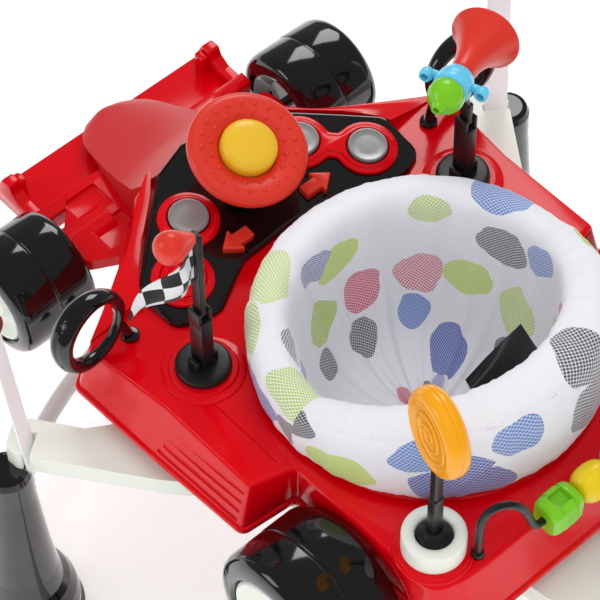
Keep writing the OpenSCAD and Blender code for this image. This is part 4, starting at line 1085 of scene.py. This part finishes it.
def straps():
    """Three webbing bands rising from the spider's arms."""
    lean = math.atan(math.hypot(*STRAP_LEAN))
    for k, (x, y, turn) in enumerate(STRAPS):
        out = Vector((math.cos(turn), math.sin(turn), 0))
        side = Vector((-out.y, out.x, 0))
        up = out * math.sin(lean) + Vector((0, 0, 1)) * math.cos(lean)
        flat = up.cross(side)
        base = at(x, y, -109)
        rings = []
        for i in range(43):
            s = -22 + 211 * i / 42
            rings.append([base + (up * s + side * u + flat * t) * MM for u, t in WEBBING])
        o = skin("strap_band_{}".format(k), rings, raw=True)
        piece(o, "tray", "webbing", *(["straps"] if k == 0 else []))


# ---- studio -----------------------------------------------------------------

# name, place in metres, side of the square, watts; only the key and the fill show as highlights
LIGHTS = (("key_light", (-2.2, -2.0, 2.8), 1.6, 38), ("fill_light", (2.6, -1.6, 1.8), 1.2, 12),
          ("top_light", (0.2, 0.6, 3.2), 2.4, 30), ("front_light", (1.9, 1.7, 1.5), 1.4, 9),
          ("back_light", (0.8, 2.8, 1.7), 1.2, 6))
LIT_AT = Vector((0, 0, 0.3))
# the camera looks down over the car's left rear, from far off through a long lens
CAMERA_AWAY = Vector((0.407, 0.444, 0.799)).normalized()
CAMERA_DISTANCE = 2.7213
LENS = 169.5
LENS_SHIFT = (-0.0607, -0.0465)


def studio():
    """Pale floor, softboxes, white surroundings and the camera."""
    scene = bpy.context.scene
    scene.view_settings.view_transform = "Standard"
    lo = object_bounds()[0]
    bpy.ops.object.select_all(action="DESELECT")
    bpy.ops.mesh.primitive_plane_add(size=14, location=(0, 0, lo.z - 0.0005))
    floor = bpy.context.object
    floor.name = "studio_floor"
    n = Nodes("floor_paper")
    # plain pale paper
    n.set(Base_Color=tint("#fbfbfb"), Roughness=0.95, Emission_Color=tint("#ffffff"),
          Emission_Strength=0.34)
    floor.data.materials.append(n.mat)
    made = [floor]
    for name, spot, size, power in LIGHTS:
        bpy.ops.object.light_add(type="AREA", location=spot)
        light = bpy.context.object
        light.name = name
        light.data.shape = "SQUARE"
        light.data.size = size
        light.data.energy = power
        light.visible_glossy = name in ("key_light", "fill_light")
        light.rotation_euler = (LIT_AT - Vector(spot)).to_track_quat("-Z", "Y").to_euler()
        made.append(light)
    world = scene.world or bpy.data.worlds.new("studio_world")
    scene.world = world
    world.use_nodes = True
    t = world.node_tree
    t.nodes.clear()
    path = t.nodes.new("ShaderNodeLightPath")

    def background(strength):
        b = t.nodes.new("ShaderNodeBackground")
        b.inputs["Color"].default_value = (1, 1, 1, 1)
        b.inputs["Strength"].default_value = strength
        return b.outputs[0]

    def choose(ray, other, seen):
        m = t.nodes.new("ShaderNodeMixShader")
        for i, socket in enumerate((path.outputs[ray], other, seen)):
            t.links.new(socket, m.inputs[i])
        return m.outputs[0]

    # soft white all round; what polished plastic mirrors is a dimmer room, with the softboxes in it
    surface = choose("Is Glossy Ray", background(0.56), background(0.2))
    surface = choose("Is Camera Ray", surface, background(1.0))
    t.links.new(surface, t.nodes.new("ShaderNodeOutputWorld").inputs["Surface"])
    bpy.ops.object.camera_add(location=DATUM + CAMERA_AWAY * CAMERA_DISTANCE)
    cam = bpy.context.object
    cam.name = "studio_camera"
    cam.rotation_euler = (-CAMERA_AWAY).to_track_quat("-Z", "Y").to_euler()
    cam.data.sensor_width = 36
    cam.data.lens = LENS
    cam.data.shift_x, cam.data.shift_y = LENS_SHIFT
    cam.data.clip_end = 20
    scene.camera = cam
    made.append(cam)
    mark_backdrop(*made)


# ---- add-on -----------------------------------------------------------------

def colour(name, text, code):
    return FloatVectorProperty(name=name, description=text, subtype="COLOR", size=4,
                               default=tint(code), min=0.0, max=1.0)


class WalkerSettings(bpy.types.PropertyGroup):
    louvres: IntProperty(name="Louvres", description="Grooves on each sidepod", default=4, min=1, max=4)
    back_rise: FloatProperty(name="Back rise", description="How far the seat's back stands above its front",
                             default=0.05, min=0.0, max=0.06, unit="LENGTH")
    fold_depth: FloatProperty(name="Fold depth", description="Depth of the cushion's folds, as a share",
                              default=1.0, min=0.0, max=1.5, subtype="FACTOR")
    body_colour: colour("Body", "Glossy red of the car", "#d80010")
    toy_colour: colour("Toys", "Red of the steering wheel, arrows and horn", "#d8301f")
    tyre_colour: colour("Tyres", "Glossy black of the tyres, mirrors and towers", "#0c0b0c")
    frame_colour: colour("Frame", "Off-white of the arms and hub caps", "#e6eae0")


def settings():
    """The user's sizes and colours."""
    return bpy.context.scene.walker


def cad_finishes():
    """The modelled solids that stay in view take their record slot's finish."""
    for part in frame["record"]["subparts"]:
        o = frame["nodes"][part["node"]]
        o.data.materials.clear()
        o.data.materials.append(bpy.data.materials[part["material_slot"]])
        only(o)
        bpy.ops.object.shade_smooth_by_angle(angle=math.radians(35))


class WALKER_OT_finishes(bpy.types.Operator):
    """Make the procedural materials and give them to the solids that stay in view"""
    bl_idname = "walker.finishes"
    bl_label = "Finishes"

    def execute(self, context):
        make_finishes()
        cad_finishes()
        return {"FINISHED"}


class WALKER_OT_car_body(bpy.types.Operator):
    """Build the tray, front wing, nose and mirrors"""
    bl_idname = "walker.car_body"
    bl_label = "Car body"

    def execute(self, context):
        tray()
        front_wing()
        nose()
        mirrors()
        return {"FINISHED"}


class WALKER_OT_dash(bpy.types.Operator):
    """Build the dashboard, its buttons and the steering wheel"""
    bl_idname = "walker.dash"
    bl_label = "Dashboard"

    def execute(self, context):
        dashboard()
        buttons()
        steering()
        return {"FINISHED"}


class WALKER_OT_wheels(bpy.types.Operator):
    """Build the four toy wheels"""
    bl_idname = "walker.wheels"
    bl_label = "Toy wheels"

    def execute(self, context):
        toy_wheels()
        return {"FINISHED"}


class WALKER_OT_toys(bpy.types.Operator):
    """Build the flag, horn, spiral disc and beads"""
    bl_idname = "walker.toys"
    bl_label = "Toys"

    def execute(self, context):
        toy_stalks()
        flag()
        horn()
        spiral_disc()
        bead_rail()
        return {"FINISHED"}


class WALKER_OT_seat(bpy.types.Operator):
    """Build the seat's ring, cushion, panel and sling"""
    bl_idname = "walker.seat"
    bl_label = "Seat"

    def execute(self, context):
        seat()
        sling()
        return {"FINISHED"}


class WALKER_OT_straps(bpy.types.Operator):
    """Build the three webbing bands"""
    bl_idname = "walker.straps"
    bl_label = "Straps"

    def execute(self, context):
        straps()
        return {"FINISHED"}


class WALKER_OT_stage(bpy.types.Operator):
    """Set up the floor, lights, surroundings and camera"""
    bl_idname = "walker.stage"
    bl_label = "Stage"

    def execute(self, context):
        studio()
        return {"FINISHED"}


OPERATORS = (WALKER_OT_finishes, WALKER_OT_car_body, WALKER_OT_dash, WALKER_OT_wheels,
             WALKER_OT_toys, WALKER_OT_seat, WALKER_OT_straps, WALKER_OT_stage)


class WALKER_PT_panel(bpy.types.Panel):
    bl_idname = "WALKER_PT_panel"
    bl_label = "Racing walker"
    bl_space_type = "VIEW_3D"
    bl_region_type = "UI"
    bl_category = "Walker"

    def draw(self, context):
        col = self.layout.column()
        for name in WalkerSettings.__annotations__:
            col.prop(context.scene.walker, name)
        for c in OPERATORS:
            col.operator(c.bl_idname)


CLASSES = (WalkerSettings, *OPERATORS, WALKER_PT_panel)


def register():
    for c in CLASSES:
        bpy.utils.register_class(c)
    bpy.types.Scene.walker = PointerProperty(type=WalkerSettings)


def unregister():
    del bpy.types.Scene.walker
    for c in reversed(CLASSES):
        bpy.utils.unregister_class(c)


def main():
    register()
    for c in OPERATORS:
        getattr(bpy.ops.walker, c.bl_idname.split(".")[1])()


if __name__ == "__main__":
    main()
